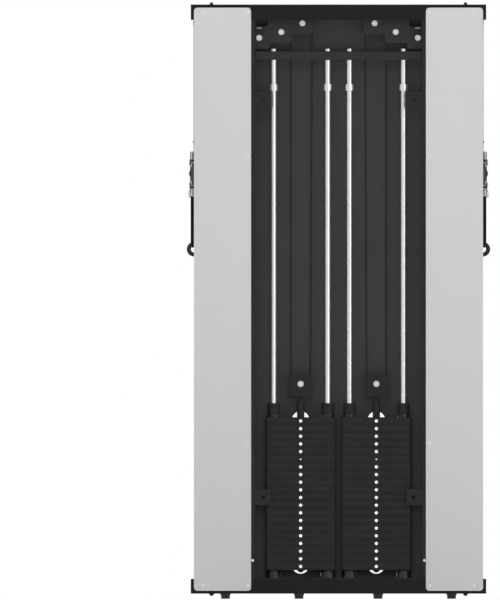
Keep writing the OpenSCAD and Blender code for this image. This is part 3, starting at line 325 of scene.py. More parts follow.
FINISHES = {
    "frame": powder_coat("frame_paint", grey(27), 0.55, 0.1),
    "wall": powder_coat("wall_paint", grey(40), 0.55, 0.1),
    "bracket": powder_coat("bracket_paint", grey(40), 0.55, 0.2),
    "cover": powder_coat("cover_paint", grey(54), 0.55, 0.2),
    # The last number given to silver_paint is the share of colour left at the floor, as painted shade
    "panel": silver_paint("panel_paint", grey(204, -1, 0), 0.82),
    "rail": silver_paint("rail_paint", grey(162, 3, 0), 0.85),
    "carriage": powder_coat("carriage_paint", grey(33), 0.5, 0.16),
    "swivel": powder_coat("swivel_paint", grey(50), 0.5, 0.2),
    "plate": painted_iron("plate_paint", grey(31), PLATE_PITCH, PLATES_LOW - PLATE_GAP / 2),
    "stem": powder_coat("stem_paint", grey(32), 0.5, 0.16),
    "chrome": polished("chrome_plate", grey(200), 0.12, (1, 1, 0.06)),
    "rod": polished("guide_rod_chrome", grey(212), 0.24, (1, 1, 0.02), 0.000002, 0.7),
    "bolt": polished("zinc_plate", grey(200), 0.34, metallic=0.45),
    "screw": polished("screw_plate", grey(235), 0.3, metallic=0.7),
    "dark_bolt": powder_coat("black_oxide", grey(30), 0.35, 0.3),
    "sheave": moulded("sheave_nylon", grey(178)),
    "bearing": polished("bearing_steel", grey(190), 0.22),
    "cable": moulded("cable_coat", grey(22), 0.3, 0.2),
    "rubber": moulded("bumper_rubber", grey(20), 0.34, 0.4),
    "nylon": moulded("black_nylon", grey(16), 0.26, 0.4),
    "webbing": webbing("strap_webbing", grey(24)),
    "thread": soft_rubber("stitch_thread", grey(44), 0.8),
    "foam": soft_rubber("grip_foam", grey(28), 0.75, 0.0002, 1500),
    "light_plate": silver_paint("plate_silver", grey(205), 0.95),
}


# Shapes as vertices and faces
def hexagon(radius, angle):
    """Distance to a hexagon's edge, where radius is the distance to its corners."""
    step = math.tau / 6
    inside = (angle % step) - step / 2
    return radius * math.cos(step / 2) / math.cos(inside)


def knurled(radius, angle):
    return radius - 0.3 + 0.3 * math.cos(36 * angle)


def lathe(profile, segments=48, closed=False):
    """Turns (radius, height) points about Z. A third value is a function that shapes the ring."""
    verts = []
    rings = []
    for radius, height, *shaped in profile:
        start = len(verts)
        if radius == 0:
            verts.append((0, 0, height))
            rings.append([start] * segments)
            continue
        for i in range(segments):
            angle = math.tau * i / segments
            reach = shaped[0](radius, angle) if shaped else radius
            verts.append((reach * math.cos(angle), reach * math.sin(angle), height))
        rings.append(list(range(start, start + segments)))
    pairs = list(zip(rings, rings[1:]))
    if closed:
        pairs.append((rings[-1], rings[0]))
    faces = []
    for a, b in pairs:
        for i in range(segments):
            j = (i + 1) % segments
            corners = list(dict.fromkeys([a[i], a[j], b[j], b[i]]))
            if len(corners) > 2:
                faces.append(corners)
    return verts, faces


def sweep(path, section, closed=False, up=None):
    """Carries a closed section of (across, up) points along a path without twist."""
    points = [Vector(p) for p in path]
    count = len(points)
    tangents = []
    for i in range(count):
        before = points[i - 1] if i or closed else points[i]
        after = points[(i + 1) % count] if i < count - 1 or closed else points[i]
        tangents.append((after - before).normalized())
    side = Vector(up).cross(tangents[0]) if up else tangents[0].orthogonal()
    side.normalize()
    verts = []
    for point, tangent in zip(points, tangents):
        side = (side - tangent * side.dot(tangent)).normalized()
        rise = tangent.cross(side)
        verts += [point + side * a + rise * b for a, b in section]
    size = len(section)
    faces = []
    for i in range(count if closed else count - 1):
        a = i * size
        b = ((i + 1) % count) * size
        faces += [(a + k, a + (k + 1) % size, b + (k + 1) % size, b + k) for k in range(size)]
    if not closed:
        faces.append(tuple(range(size - 1, -1, -1)))
        faces.append(tuple(range((count - 1) * size, count * size)))
    return verts, faces


def ring(radius, sides=12):
    turns = [math.tau * i / sides for i in range(sides)]
    return [(radius * math.cos(turn), radius * math.sin(turn)) for turn in turns]


def tube(path, radius, sides=12, closed=False):
    return sweep(path, ring(radius, sides), closed)


def band(path, width, thickness, across):
    """Webbing along a path, with rounded edges; across is the direction of its width."""
    w = width / 2
    t = thickness / 2
    soft = t * 0.7
    half = [(w - soft, -t), (w, -t + soft), (w, t - soft), (w - soft, t)]
    section = half + [(-a, -b) for a, b in half]
    points = [Vector(p) for p in path]
    start = (points[1] - points[0]).normalized()
    return sweep(points, section, up=start.cross(Vector(across)))


def prism(outline, depth):
    """A flat outline of (x, y) points, raised along Z."""
    count = len(outline)
    verts = [(x, y, 0) for x, y in outline] + [(x, y, depth) for x, y in outline]
    faces = [(i, (i + 1) % count, count + (i + 1) % count, count + i) for i in range(count)]
    faces += [tuple(range(count - 1, -1, -1)), tuple(range(count, 2 * count))]
    return verts, faces


def block(a, b):
    (x0, y0, z0), (x1, y1, z1) = a, b
    verts, faces = prism([(x0, y0), (x1, y0), (x1, y1), (x0, y1)], z1 - z0)
    return [(x, y, z + z0) for x, y, z in verts], faces


def polar(c, r, degrees):
    angle = math.radians(degrees)
    return Vector((c[0] + r * math.cos(angle), c[1] + r * math.sin(angle)))


def arc(c, r, a0, a1, steps):
    return [polar(c, r, a0 + (a1 - a0) * i / steps) for i in range(steps + 1)]


def left_tangent(a, b):
    return math.degrees(math.atan2(b[1] - a[1], b[0] - a[0])) + 90


def aimed(point, axis, scale=MM):
    """Places a shape drawn in millimetres, its Z along an axis and its X level where it can be."""
    z = Vector(axis).normalized()
    hint = Vector((0, 1, 0)) if abs(z.x) > 0.9 else Vector((1, 0, 0))
    y = z.cross(hint).normalized()
    basis = Matrix((y.cross(z), y, z)).transposed().to_4x4()
    return Matrix.Translation(point) @ basis @ Matrix.Scale(scale, 4)


def put(side, x, y, z, way):
    return aimed(spot(side, x, y, z), way)


def flipped(side):
    """Carries a shape drawn for the right-hand side, in metres from the rail plane, to its side."""
    return Matrix.Translation((0, PLANE_Y, 0)) @ Matrix.Diagonal((SIDES[side], 1, 1, 1))


# Edges past these angles, in degrees, are shaded sharp on new pieces and rounded on CAD ones
SHARP_ANGLE = 35
BEVEL_ANGLE = 40


class Shape:
    """Collects shapes and makes one piece of them."""

    def __init__(self):
        self.verts = []
        self.faces = []

    def add(self, shape, placed=Matrix()):
        start = len(self.verts)
        verts, faces = shape
        self.verts += [placed @ Vector(v) for v in verts]
        self.faces += [tuple(start + i for i in face) for face in faces]
        return self

    def make(self, name, finish, slot, body=None, replaces=()):
        mesh = bpy.data.meshes.new(name)
        bm = bmesh.new()
        made = [bm.verts.new(v) for v in self.verts]
        for face in self.faces:
            bm.faces.new([made[i] for i in face])
        bmesh.ops.recalc_face_normals(bm, faces=bm.faces)
        bm.to_mesh(mesh)
        bm.free()
        mesh.shade_smooth()
        mesh.set_sharp_from_angle(angle=math.radians(SHARP_ANGLE))
        piece = bpy.data.objects.new(name, mesh)
        bpy.context.scene.collection.objects.link(piece)
        mesh.materials.append(FINISHES[finish])
        if body:
            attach(piece, body)
        if replaces:
            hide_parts(*replaces)
        return piece


def soften(piece, width):
    """Rounds a piece's sharp edges with modifiers."""
    weld = piece.modifiers.new("weld", "WELD")
    weld.merge_threshold = 0.01 * MM
    edge = piece.modifiers.new("edge", "BEVEL")
    edge.width = width
    edge.segments = 2
    edge.limit_method = "ANGLE"
    edge.angle_limit = math.radians(BEVEL_ANGLE)
    edge.harden_normals = True


# CAD nodes that keep their own solids: finish, and width of the rounded edges in millimetres
CAD_LOOKS = {
    "top_beam": ("frame", 0), "bottom_beam": ("frame", 0), "inner_walls": ("wall", 0.8),
    "front_cover": ("cover", 0.5), "rear_panels": ("panel", 0.6), "carriage_rails": ("rail", 0.9),
    "crossbar": ("bracket", 1.5), "guide_rods": ("rod", 0), "stack_bumpers": ("rubber", 1.2),
    "levelling_feet": ("rubber", 0.8), "frame_bolts": ("dark_bolt", 0), "pulley_brackets": ("bracket", 0.5),
    "resting_weights": ("plate", 1.0), "lifted_weights": ("plate", 1.0), "selector_stem": ("stem", 0.5),
    "carriage": ("carriage", 0.8), "swivel_bracket": ("swivel", 0.6),
}


def dress_cad():
    for name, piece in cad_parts.items():
        base = name.replace("left_", "").replace("right_", "")
        finish, width = ("sheave", 0) if base.endswith("_sheave") else CAD_LOOKS.get(base, ("", 0))
        if not finish:
            continue
        piece.data.materials.clear()
        piece.data.materials.append(FINISHES[finish])
        if width:
            soften(piece, width * MM)


# Cables
def xz(side, points):
    return [spot(side, p[0], 0, p[1]) for p in points]


def yz(side, points):
    return [spot(side, CABLE_X, p[0], p[1]) for p in points]


def make_cables(side):
    body = side + "_"
    leaving = left_tangent(floating_c, inner_c)
    crossing = left_tangent(middle_c, outer_c)
    outer_x = floating_c[0] + pitch_r
    # Fixed runs over the frame sheaves
    top = arc(inner_c, pitch_r, leaving, 90, 12) + arc(head_c, pitch_r, 90, 0, 12)
    down = (arc(middle_c, pitch_r, 180, crossing, 12) + arc(outer_c, pitch_r, crossing, 0, 12)
            + arc(bottom_c, pitch_r, 180, 360, 20))
    fixed = Shape().add(tube(xz(side, top), CABLE_R)).add(tube(xz(side, down), CABLE_R))
    fixed.make(body + "frame_cable_runs", "cable", "cable_black", "root",
               ["fixed_cables"] if side == "right" else [])
    # The loop round the floating sheave, then its two runs to the top
    loop = Shape().add(tube(xz(side, arc(floating_c, pitch_r, leaving, 360, 20)), CABLE_R))
    loop.make(body + "stack_cable_loop", "cable", "cable_black", body + "stack", [body + "stack_cables"])
    inner = [polar(c, pitch_r, leaving) for c in (floating_c, inner_c)]
    outer = [(outer_x, c[1]) for c in (floating_c, middle_c)]
    for name, ends in (("inner", inner), ("outer", outer)):
        stretch(body + "stack_cable_" + name, xz(side, ends), body + "stack", "root", [])
    rail_low = low("right_rail_cable").z
    stretch(body + "rail_cable_run", xz(side, [(CABLE_X, rail_low), (CABLE_X, head_c[1])]),
            body + "carriage", "root", [body + "rail_cable"])
    stretch(body + "return_cable_run",
            xz(side, [(RETURN_X, high("right_return_cable").z), (RETURN_X, bottom_c[1])]),
            body + "carriage", "root", [body + "return_cable"])


def stretch(name, ends, moving, fixed, replaces):
    """A straight run of cable between two ends; the moving and fixed bodies are not used."""
    piece = Shape().add(tube(ends, CABLE_R)).make(name, "cable", "cable_black", replaces=replaces)
    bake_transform(piece)


# The swivel cable's start below the end of the rail cable, and the cable's length in the stop
ENTRY_DROP = 0.9 * MM
INTO_STOP = 6 * MM


def make_pull_cable(side):
    """From the carriage's eye over the upper swivel sheave, and out to the cable stop."""
    entry = Vector((0, low("right_rail_cable").z - ENTRY_DROP))
    way = upper_c - entry
    bearing = math.degrees(math.atan2(way[1], way[0]) - math.asin(swivel_r / way.length))
    touch = polar(entry, math.sqrt(way.length ** 2 - swivel_r ** 2), bearing)
    over = [entry, touch] + arc(upper_c, swivel_r, bearing + 270, 270, 12)[1:]
    piece = Shape().add(tube(yz(side, over), CABLE_R))
    piece.make(side + "_swivel_cable_run", "cable", "cable_black", side + "_swivel", [side + "_swivel_cable"])
    stop_y = low("right_cable_stop").y - PLANE_Y
    stretch(side + "_pull_cable", yz(side, [(upper_c[0], pull_z), (stop_y + INTO_STOP, pull_z)]),
            side + "_swivel", side + "_cable_end", [])


# Fasteners, drawn in millimetres with the head's seat at 0
THREAD_PITCH = 1.2


def hex_head(width, height):
    corner = width / 2 / math.cos(math.radians(30))
    rim = width / 2 * 0.95
    return lathe([(0, 0), (corner - 0.6, 0, hexagon), (corner, 0.5, hexagon),
                  (corner, height * 0.72, hexagon), (rim, height), (rim * 0.86, height),
                  (rim * 0.8, height - 0.4), (0, height - 0.4)])


def threaded_end(radius, length):
    profile = [(0, 0), (radius, 0)]
    for i in range(int(length / THREAD_PITCH)):
        start = THREAD_PITCH * i
        profile += [(radius, start + 0.3), (radius - 0.5, start + 0.6), (radius, start + 0.9)]
    return lathe(profile + [(radius - 0.8, length), (0, length)], 32)


def flat_ring(inner, outer, height):
    soft = min(0.3, height / 3)
    return lathe([(inner, 0), (outer - soft, 0), (outer, soft), (outer, height - soft),
                  (outer - soft, height), (inner, height)], closed=True)


def button_head(radius, height, socket, shank_r, shank_l):
    """A domed screw head with a hexagonal socket, on its shank."""
    return lathe([(0, height * 0.4), (socket, height * 0.4, hexagon), (socket, height * 0.94, hexagon),
                  (socket + 0.7, height), (radius * 0.72, height * 0.88), (radius * 0.93, height * 0.5),
                  (radius, height * 0.15), (radius, 0), (shank_r, 0), (shank_r, -shank_l), (0, -shank_l)], 36)


def socket_cap(radius, height, socket, shank_r, shank_l):
    """A knurled socket cap screw on its shank."""
    return lathe([(0, height * 0.4), (socket, height * 0.4, hexagon), (socket, height - 0.3, hexagon),
                  (radius * 0.86, height), (radius, height - 0.6, knurled), (radius, 0.4, knurled),
                  (radius - 0.4, 0), (shank_r, 0), (shank_r, -shank_l), (0, -shank_l)], 144)


# Axle bolts, in millimetres
AXLE_R = 6
HEAD_AF = 19
HEAD_L = 5.5
WASHER_R = 10.8
WASHER_L = 1.2
WALLWARD = (0, -1, 0)
USERWARD = (0, 1, 0)
UP = (0, 0, 1)
DOWN = (0, 0, -1)


def axle_bolt(shape, side, c, grow=0, turned=0):
    """Head and washer on the wall side, nut and thread end on the user side."""
    rear = spot(side, c[0], -CHEEK_OUT, c[1])
    front = spot(side, c[0], CHEEK_OUT, c[1])
    corners = Matrix.Rotation(math.radians(turned), 4, "Z")
    for seat, way in ((rear, WALLWARD), (front, USERWARD)):
        shape.add(flat_ring(AXLE_R, WASHER_R + grow, WASHER_L), aimed(seat, way))
        head = seat + Vector(way) * WASHER_L * MM
        shape.add(hex_head(HEAD_AF + grow, HEAD_L - WASHER_L + grow), aimed(head, way) @ corners)
    nut_top = front + Vector(USERWARD) * (HEAD_L - 0.5) * MM
    shape.add(threaded_end(AXLE_R, 3.5), aimed(nut_top, USERWARD))


# Spacers beside the rail head sheave, in millimetres; the shelf bolt's place from the outer sheave
SPACER_IN = 9.8
SPACER_L = 7.2
SHELF_BOLT_Y = -29.5 * MM
SHELF_BOLT_RISE = 30 * MM


def make_axles():
    shape = Shape()
    rail_half = (high("carriage_rails").y - low("carriage_rails").y) / 2
    spacer = flat_ring(AXLE_R, AXLE_R + 2.5, SPACER_L)
    lens = [(0, 8.9), (2.8, 8.7), (5.4, 8.2), (9, 6.9), (12, 5.2), (13.3, 4.4), (13.3, 3.8), (12, 3),
            (9, 1.3), (5.4, 0), (4.5, 0), (4.5, -3), (0, -3)]
    for side in SIDES:
        for c in (inner_c, middle_c, outer_c, bottom_c):
            axle_bolt(shape, side, c, turned=30 if c == outer_c else 0)
            shaft = [spot(side, c[0], y, c[1]) for y in (-CHEEK_OUT, CHEEK_OUT)]
            shape.add(tube(shaft, AXLE_R * MM, 24))
        rear = spot(side, head_c[0], -rail_half, head_c[1])
        front = spot(side, head_c[0], rail_half, head_c[1])
        clip = front + Vector(USERWARD) * 0.5 * MM
        shape.add(tube([rear, front], AXLE_R * MM, 24))
        shape.add(button_head(9, 4, 3, AXLE_R, 1), aimed(rear, WALLWARD))
        shape.add(flat_ring(AXLE_R - 1.2, AXLE_R + 2.4, 1.2), aimed(clip, USERWARD))
        shape.add(threaded_end(AXLE_R, 3), aimed(front, USERWARD))
        for y in (-SPACER_IN - SPACER_L, SPACER_IN):
            shape.add(spacer, put(side, head_c[0], y * MM, head_c[1], USERWARD))
        # Lens-shaped bolt head that stands on the bracket's shelf
        shape.add(lathe(lens), put(side, outer_c[0], SHELF_BOLT_Y, outer_c[1] + SHELF_BOLT_RISE, UP))
    shape.make("axle_bolts", "bolt", "bright_bolt", "root", ["pulley_axles"])


# Places of the cover and panel screws
REAR_INNER_X = 318 * MM
REAR_OUTER_X = 473 * MM
REAR_TOP_INSET = 16 * MM
FLANGE_SCREW = (300.7 * MM, 134.4 * MM)
FRONT_SCREW_X = (60 * MM, 309 * MM, 370 * MM)
# Head radius and height, socket, shank radius and length
SCREW = (5, 2.8, 2, 2.5, 7)


def rows(first, last, count):
    return [first + (last - first) * i / (count - 1) for i in range(count)]


def make_screws():
    shape = Shape()
    socket_shade = Shape()
    head_r = SCREW[0] * MM
    socket = SCREW[2] - 0.05
    # Painted shade: a dark lining in each screw's socket
    shaded_well = [(0, 1.2), (socket, 1.2, hexagon), (socket, 2.5, hexagon), (0, 1.3)]
    lowest = low("panel_screws").z + head_r
    rear_high = high("rear_panels").z - REAR_TOP_INSET
    front_high = high("panel_screws").z - head_r
    for side in SIDES:
        shape.add(button_head(*SCREW), put(side, FLANGE_SCREW[0], WALL_Y, FLANGE_SCREW[1], WALLWARD))
        rear = [(REAR_INNER_X, z) for z in rows(lowest, rear_high, 5)]
        rear += [(REAR_OUTER_X, lowest), (REAR_OUTER_X, rear_high)]
        front = [(x, z) for x in FRONT_SCREW_X for z in (lowest, front_high)]
        front += [(FRONT_SCREW_X[1], z) for z in rows(lowest, front_high, 7)[1:6:2]]
        for places, y, way in ((rear, REAR_Y, WALLWARD), (front, FRONT_Y, USERWARD)):
            for x, z in places:
                shape.add(button_head(*SCREW), put(side, x, y, z, way))
                socket_shade.add(lathe(shaded_well), put(side, x, y, z, way))
    shape.make("cover_screws", "screw", "bright_bolt", "root", ["panel_screws"])
    socket_shade.make("cover_screw_sockets", "dark_bolt", "dark_bolt", "root")


FRAME_BOLT_R = 4
FRAME_BOLT_Y = 12 * MM
# Top of the rails' foot plates above the bottom beam's underside
FOOT_PLATE_TOP = 56 * MM


def make_frame_bolts():
    shape = Shape()
    top_z = high("top_beam").z
    foot_z = low("bottom_beam").z
    cap = [(0, 8), (2.6, 7.7), (4.6, 6.4), (5.6, 4.4), (6, 2.2), (6.5, 2), (6.5, 0),
           (FRAME_BOLT_R, 0), (FRAME_BOLT_R, -7), (0, -7)]
    nut = [(FRAME_BOLT_R, 2.2), (6.9, 2.2, hexagon), (7.4, 2.7, hexagon), (5.2, 6.6, hexagon),
           (4.8, 7), (FRAME_BOLT_R, 7)]
    for side in SIDES:
        for y in (-FRAME_BOLT_Y, FRAME_BOLT_Y):
            shape.add(lathe(cap), put(side, RAIL_X, y, top_z, UP))
            shape.add(socket_cap(4.8, 8, 2.5, FRAME_BOLT_R, 3),
                      put(side, RAIL_X, y, foot_z + FOOT_PLATE_TOP, UP))
            beneath = put(side, RAIL_X, y, foot_z, DOWN)
            shape.add(flat_ring(FRAME_BOLT_R, 9.5, 2.2), beneath)
            shape.add(lathe(nut, closed=True), beneath)
            shape.add(threaded_end(FRAME_BOLT_R, 8), beneath)
    shape.make("frame_cap_screws", "dark_bolt", "dark_bolt", "root", ["frame_bolts"])


# Stack details, in millimetres
KNOB_L = 12
LINER_R = (14.4, 32)


def make_stack(side):
    body = side + "_stack"
    bolts = Shape()
    axle_bolt(bolts, side, floating_c, 0.5)
    bolts.make(side + "_yoke_bolt", "bolt", "bright_bolt", body)
    bushings = Shape()
    top = BUSHING_L / MM
    profile = [(9.6, 0), (21.3, 0), (21.3, 8), (20, 9.5), (20, 44), (18.4, top - 0.7), (17, top), (9.6, top)]
    for x in (STACK_X - ROD_OFFSET, STACK_X + ROD_OFFSET):
        bushings.add(lathe(profile, closed=True), put(side, x, 0, PLATES_HIGH, UP))
    bushings.make(side + "_guide_bushings", "nylon", "rubber_black", body)
    # Thin fibre rings between the plates, round the stem
    resting_n = round((high("resting_weights").z - PLATES_LOW) / PLATE_PITCH)
    liner = flat_ring(*LINER_R, PLATE_GAP / MM)
    for name, first, end, carrier in (("resting", 1, resting_n + 1, "root"),
                                      ("lifted", resting_n + 1, PLATE_N, body)):
        liners = Shape()
        for i in range(first, end):
            liners.add(liner, put(side, STACK_X, 0, PLATES_LOW + i * PLATE_PITCH - PLATE_GAP, UP))
        liners.make(side + "_" + name + "_plate_liners", "rubber", "rubber_black", carrier)
    # Selector pin: a chromed shaft with a black knob
    pin_z = centre("right_selector_pin").z
    tip = low("right_selector_pin").y - PLANE_Y
    seat = high("right_selector_pin").y - PLANE_Y - KNOB_L * MM
    shaft_l = (seat - tip) / MM
    shaft = [(0, 0), (3.4, 0), (4.75, 1.6), (4.75, shaft_l + 1), (0, shaft_l + 1)]
    pin = Shape().add(lathe(shaft, 32), put(side, STACK_X, tip, pin_z, USERWARD))
    node = side + "_selector_pin"
    pin.make(side + "_selector_shaft", "chrome", "chrome", node, [node])
    knob = [(0, 0), (9, 0), (9.6, 0.6), (8.6, 2.4), (8.8, 4), (12.2, 6), (13, 8), (12.6, 10.2),
            (10.8, 11.6), (0, KNOB_L)]
    head = Shape().add(lathe(knob), put(side, STACK_X, seat, pin_z, USERWARD))
    head.make(side + "_selector_knob", "nylon", "rubber_black", node)


# Bearings in the sheaves, in millimetres
FRAME_BORE_R = 6.2
SWIVEL_BORE_R = 5.2


def make_bearings(side):
    for name in SHEAVES:
        node = side + "_" + name
        middle = centre(node)
        size = high(node) - low(node)
        across = name.startswith("swivel")
        way = Vector((1, 0, 0)) if across else Vector((0, 1, 0))
        half = size.dot(way) / 2
        bore = SWIVEL_BORE_R if across else FRAME_BORE_R
        races = [(bore, -0.6), (bore, 0.35), (bore + 1.6, 0.35), (bore + 1.9, 0.1), (bore + 4.2, 0.1),
                 (bore + 4.5, 0.35), (bore + 6.2, 0.35), (bore + 6.4, 0), (bore + 6.4, -0.6)]
        shape = Shape()
        for turn in (-1, 1):
            shape.add(lathe(races, 40, closed=True), aimed(middle + way * half * turn, way * turn))
        shape.make(node + "_bearings", "bearing", "bright_bolt", node)


# Carriage, hinge and pop pin
HOUSING_Y = 38.2 * MM
HOUSING_NUT_Y = 33.6 * MM
# Bare edges of the front plate above the swivel: their sides, thickness, depth and height
EDGE_X = (404.1 * MM, 484.5 * MM)
EDGE_T = 0.4 * MM
EDGE_Y = (31 * MM, 33.5 * MM)
EDGE_Z = (1540 * MM, 1619.6 * MM)
# Hinge washers and pin ends, up and down from the swivel's middle
HINGE_WASHER_Z = 39.05 * MM
HINGE_PIN_HALF = 51 * MM


def make_carriage(side):
    body = side + "_carriage"
    pin_z = centre("right_pop_pin").z
    knurl = [(10.6, 0), (12.4, 0, knurled), (12.7, 1, knurled), (12.7, 34, knurled), (12, 35.5),
             (11, 36.6), (10.6, 36.6)]
    nut = [(12.2, 0), (14.5, 0, hexagon), (14.5, 3.6, hexagon), (12.6, 4.4), (12.2, 4.4)]
    housing = Shape().add(lathe(knurl, 144, closed=True), put(side, RAIL_X, HOUSING_Y, pin_z, USERWARD))
    housing.add(lathe(nut, closed=True), put(side, RAIL_X, HOUSING_NUT_Y, pin_z, USERWARD))
    housing.make(side + "_pin_housing", "nylon", "rubber_black", body)
    edge = Shape()
    for x in EDGE_X:
        corners = [(x, EDGE_Y[0], EDGE_Z[0]), (x + EDGE_T, EDGE_Y[1], EDGE_Z[1])]
        edge.add(block(*corners), flipped(side))
    edge.make(side + "_front_plate_edge", "bolt", "bright_bolt", body)
    hinge = Shape()
    swivel_z = (upper_c[1] + lower_c[1]) / 2
    for turn in (-1, 1):
        washer = put(side, CABLE_X, 0, swivel_z + turn * HINGE_WASHER_Z, (0, 0, turn))
        hinge.add(flat_ring(5, 8.6, 1.95), washer)
    head = [(0, 4.2), (3.6, 4.1), (6.4, 3.2), (7.3, 1.8), (7.3, 0), (0, 0)]
    tail = [(0, 2.3), (3.8, 2.2), (5.2, 1.2), (5.2, 0), (0, 0)]
    hinge.add(lathe(head), put(side, CABLE_X, 0, swivel_z - HINGE_PIN_HALF, DOWN))
    hinge.add(lathe(tail), put(side, CABLE_X, 0, swivel_z + HINGE_PIN_HALF, UP))
    hinge.make(side + "_hinge_pin_ends", "bolt", "bright_bolt", body)
    # Cable end fittings
    ends = Shape()
    collar = [(2.6, -2.4), (4.4, -2.4), (4.8, -1.6), (4.8, 0), (2.6, 0)]
    ends.add(lathe(collar, 32, closed=True), put(side, CABLE_X, 0, low("right_rail_cable").z, UP))
    ferrule = [(2.7, 0), (4.2, 0), (4.8, 0.8), (4.8, 3), (4.4, 3.4), (4.8, 3.8), (4.8, 6), (4.4, 6.4),
               (4.8, 6.8), (4.8, 11.4), (2.7, 11.4)]
    end_z = high("right_return_cable").z + 0.3 * MM
    ends.add(lathe(ferrule, 32, closed=True), put(side, RETURN_X, 0, end_z, UP))
    ends.make(side + "_cable_ferrules", "bolt", "bright_bolt", body)


POP_KNOB_L = 33.5


def make_pop_pin(side):
    node = "right_pop_pin"
    middle = centre(node)
    start = low(node).y
    length = (high(node).y - start) / MM
    flange_r = half_height(node) / MM
    collar = length - POP_KNOB_L
    profile = [(0, 0), (4.4, 0), (6, 1.8), (6, collar), (9.4, collar), (10, collar + 0.8),
               (10, collar + 19), (9.3, collar + 20), (9.3, collar + 22), (10.2, collar + 24),
               (12.4, collar + 27), (16.5, collar + 29.4), (flange_r - 1.2, collar + 30.6),
               (flange_r, collar + 31.4), (flange_r, collar + 32.6), (flange_r - 0.8, length),
               (flange_r - 5, length), (9, length - 1.4), (0, length - 1.8)]
    place = Vector((SIDES[side] * middle.x, start, middle.z))
    pin = Shape().add(lathe(profile, 64), aimed(place, USERWARD))
    pin.make(side + "_pop_pin_knob", "chrome", "chrome", side + "_pop_pin", [side + "_pop_pin"])


SWIVEL_CAP_OUT = 14.4 * MM


def make_swivel(side):
    cap = [(0, 3.6), (5, 3.5), (8.6, 2.9), (10.4, 1.6), (10.9, 0.4), (10.9, 0), (0, 0)]
    shape = Shape()
    for c in (upper_c, lower_c):
        for turn in (-1, 1):
            seat = spot(side, CABLE_X + turn * SWIVEL_CAP_OUT, c[0], c[1])
            shape.add(lathe(cap), aimed(seat, (turn * SIDES[side], 0, 0)))
    shape.make(side + "_swivel_axle_caps", "bolt", "bright_bolt", side + "_swivel")


# Cable stop and its eye, in millimetres; the eye's tilt is in degrees
STOP_L = 55
EYE_R = 6.6
EYE_WIRE = 2.2
EYE_TILT = 9.4


def make_cable_stop(side):
    body = side + "_cable_end"
    node = "right_cable_stop"
    start = low(node).y - PLANE_Y
    profile = [(2.8, 1.5), (2.8, 0), (4, 0.2), (5.8, 3), (7, 6.6), (10, 10.2), (14.4, 14.2), (17.4, 17.6),
               (18.3, 20), (18.5, 22.6), (18.3, 25), (17.9, 25.6), (18.1, 26.4), (17.4, 33.6), (17, 34.2),
               (17.2, 35), (16.5, 42), (16.1, 42.6), (16.2, 43.4), (15.4, 50), (14.2, 53.4), (12, STOP_L),
               (0, STOP_L)]
    stop = Shape().add(lathe(profile, 64), put(side, CABLE_X, start, pull_z, USERWARD))
    stop.make(side + "_stop_ball", "rubber", "rubber_black", body, [side + "_cable_stop"])
    shank = [(0, 0), (4.2, 0), (4.2, 1.4), (3, 2.4), (2.5, 3), (2.5, 5.4), (0, 5.4)]
    eye = Shape().add(lathe(shank, 32), put(side, CABLE_X, start + STOP_L * MM, pull_z, USERWARD))
    eye_y = high(node).y - PLANE_Y - (EYE_R + EYE_WIRE) * MM
    middle = Matrix.Translation(spot(side, CABLE_X, eye_y, pull_z))
    tilt = Matrix.Rotation(math.radians(EYE_TILT), 4, "X")
    wire = [(EYE_R + a, b) for a, b in ring(EYE_WIRE, 16)]
    eye.add(lathe(wire, closed=True), middle @ tilt @ Matrix.Scale(MM, 4))
    eye.make(side + "_stop_eye", "chrome", "chrome", body)


# Carabiner: a wide end above and a narrow end below, open on one side where the gate is
CARABINER_WIRE = 4 * MM
CARABINER_TOP_R = 18.25 * MM
CARABINER_LOW_R = 8 * MM
CARABINER_L = 51.5 * MM
GATE_WIRE = 3.1 * MM
RIVET_R = 1.9 * MM
RIVET_HALF = 4.3 * MM


def make_carabiner(side):
    top = Vector((HANDLE_Y, high("right_carabiner").z - CARABINER_TOP_R - CARABINER_WIRE))
    bottom = Vector((HANDLE_Y, top[1] - CARABINER_L))
    taper = math.degrees(math.asin((CARABINER_TOP_R - CARABINER_LOW_R) / CARABINER_L))
    hinge_at = polar(bottom, CARABINER_LOW_R, -taper)
    nose_at = polar(top, CARABINER_TOP_R, -taper)
    opening = nose_at - hinge_at
    run = [hinge_at + opening * 0.16]
    run += arc(bottom, CARABINER_LOW_R, 360 - taper, 180 + taper, 16)
    run += arc(top, CARABINER_TOP_R, 180 + taper, -taper, 30)
    run += [nose_at - opening * 0.12]
    shape = Shape().add(tube(yz(side, run), CARABINER_WIRE, 16))
    gate = [hinge_at + opening * t for t in (0.08, 0.2, 0.8, 0.93)]
    shape.add(tube(yz(side, gate), GATE_WIRE, 16))
    for t in (0.12, 0.9):
        at = hinge_at + opening * t
        rivet = [spot(side, CABLE_X + turn * RIVET_HALF, at[0], at[1]) for turn in (-1, 1)]
        shape.add(tube(rivet, RIVET_R, 16))
    shape.make(side + "_snap_hook", "chrome", "chrome", side + "_carabiner", [side + "_carabiner"])


# Handle
D_WIRE = 2.5 * MM
D_R = 18.5 * MM
D_CORNER = 3.5 * MM
D_BAR_DROP = 14.4 * MM
STRAP_W = 25 * MM
STRAP_T = 1.5 * MM
BORE_BAND_W = 16 * MM
# Neck: its length, its top above the bar, the seam's top below the bar, and the wrap round the bar
NECK_L = 50.5 * MM
NECK_RISE = 4.5 * MM
SEAM_DROP = 8 * MM
WRAP_DROP = 5 * MM
WRAP_R = 3.55 * MM
LAYER = 2.7 * MM
STITCH_OUT = 3.45 * MM
THREAD_R = 0.35 * MM
STRAP_DROP = 107.5 * MM
GRIP_HALF = 69.5 * MM


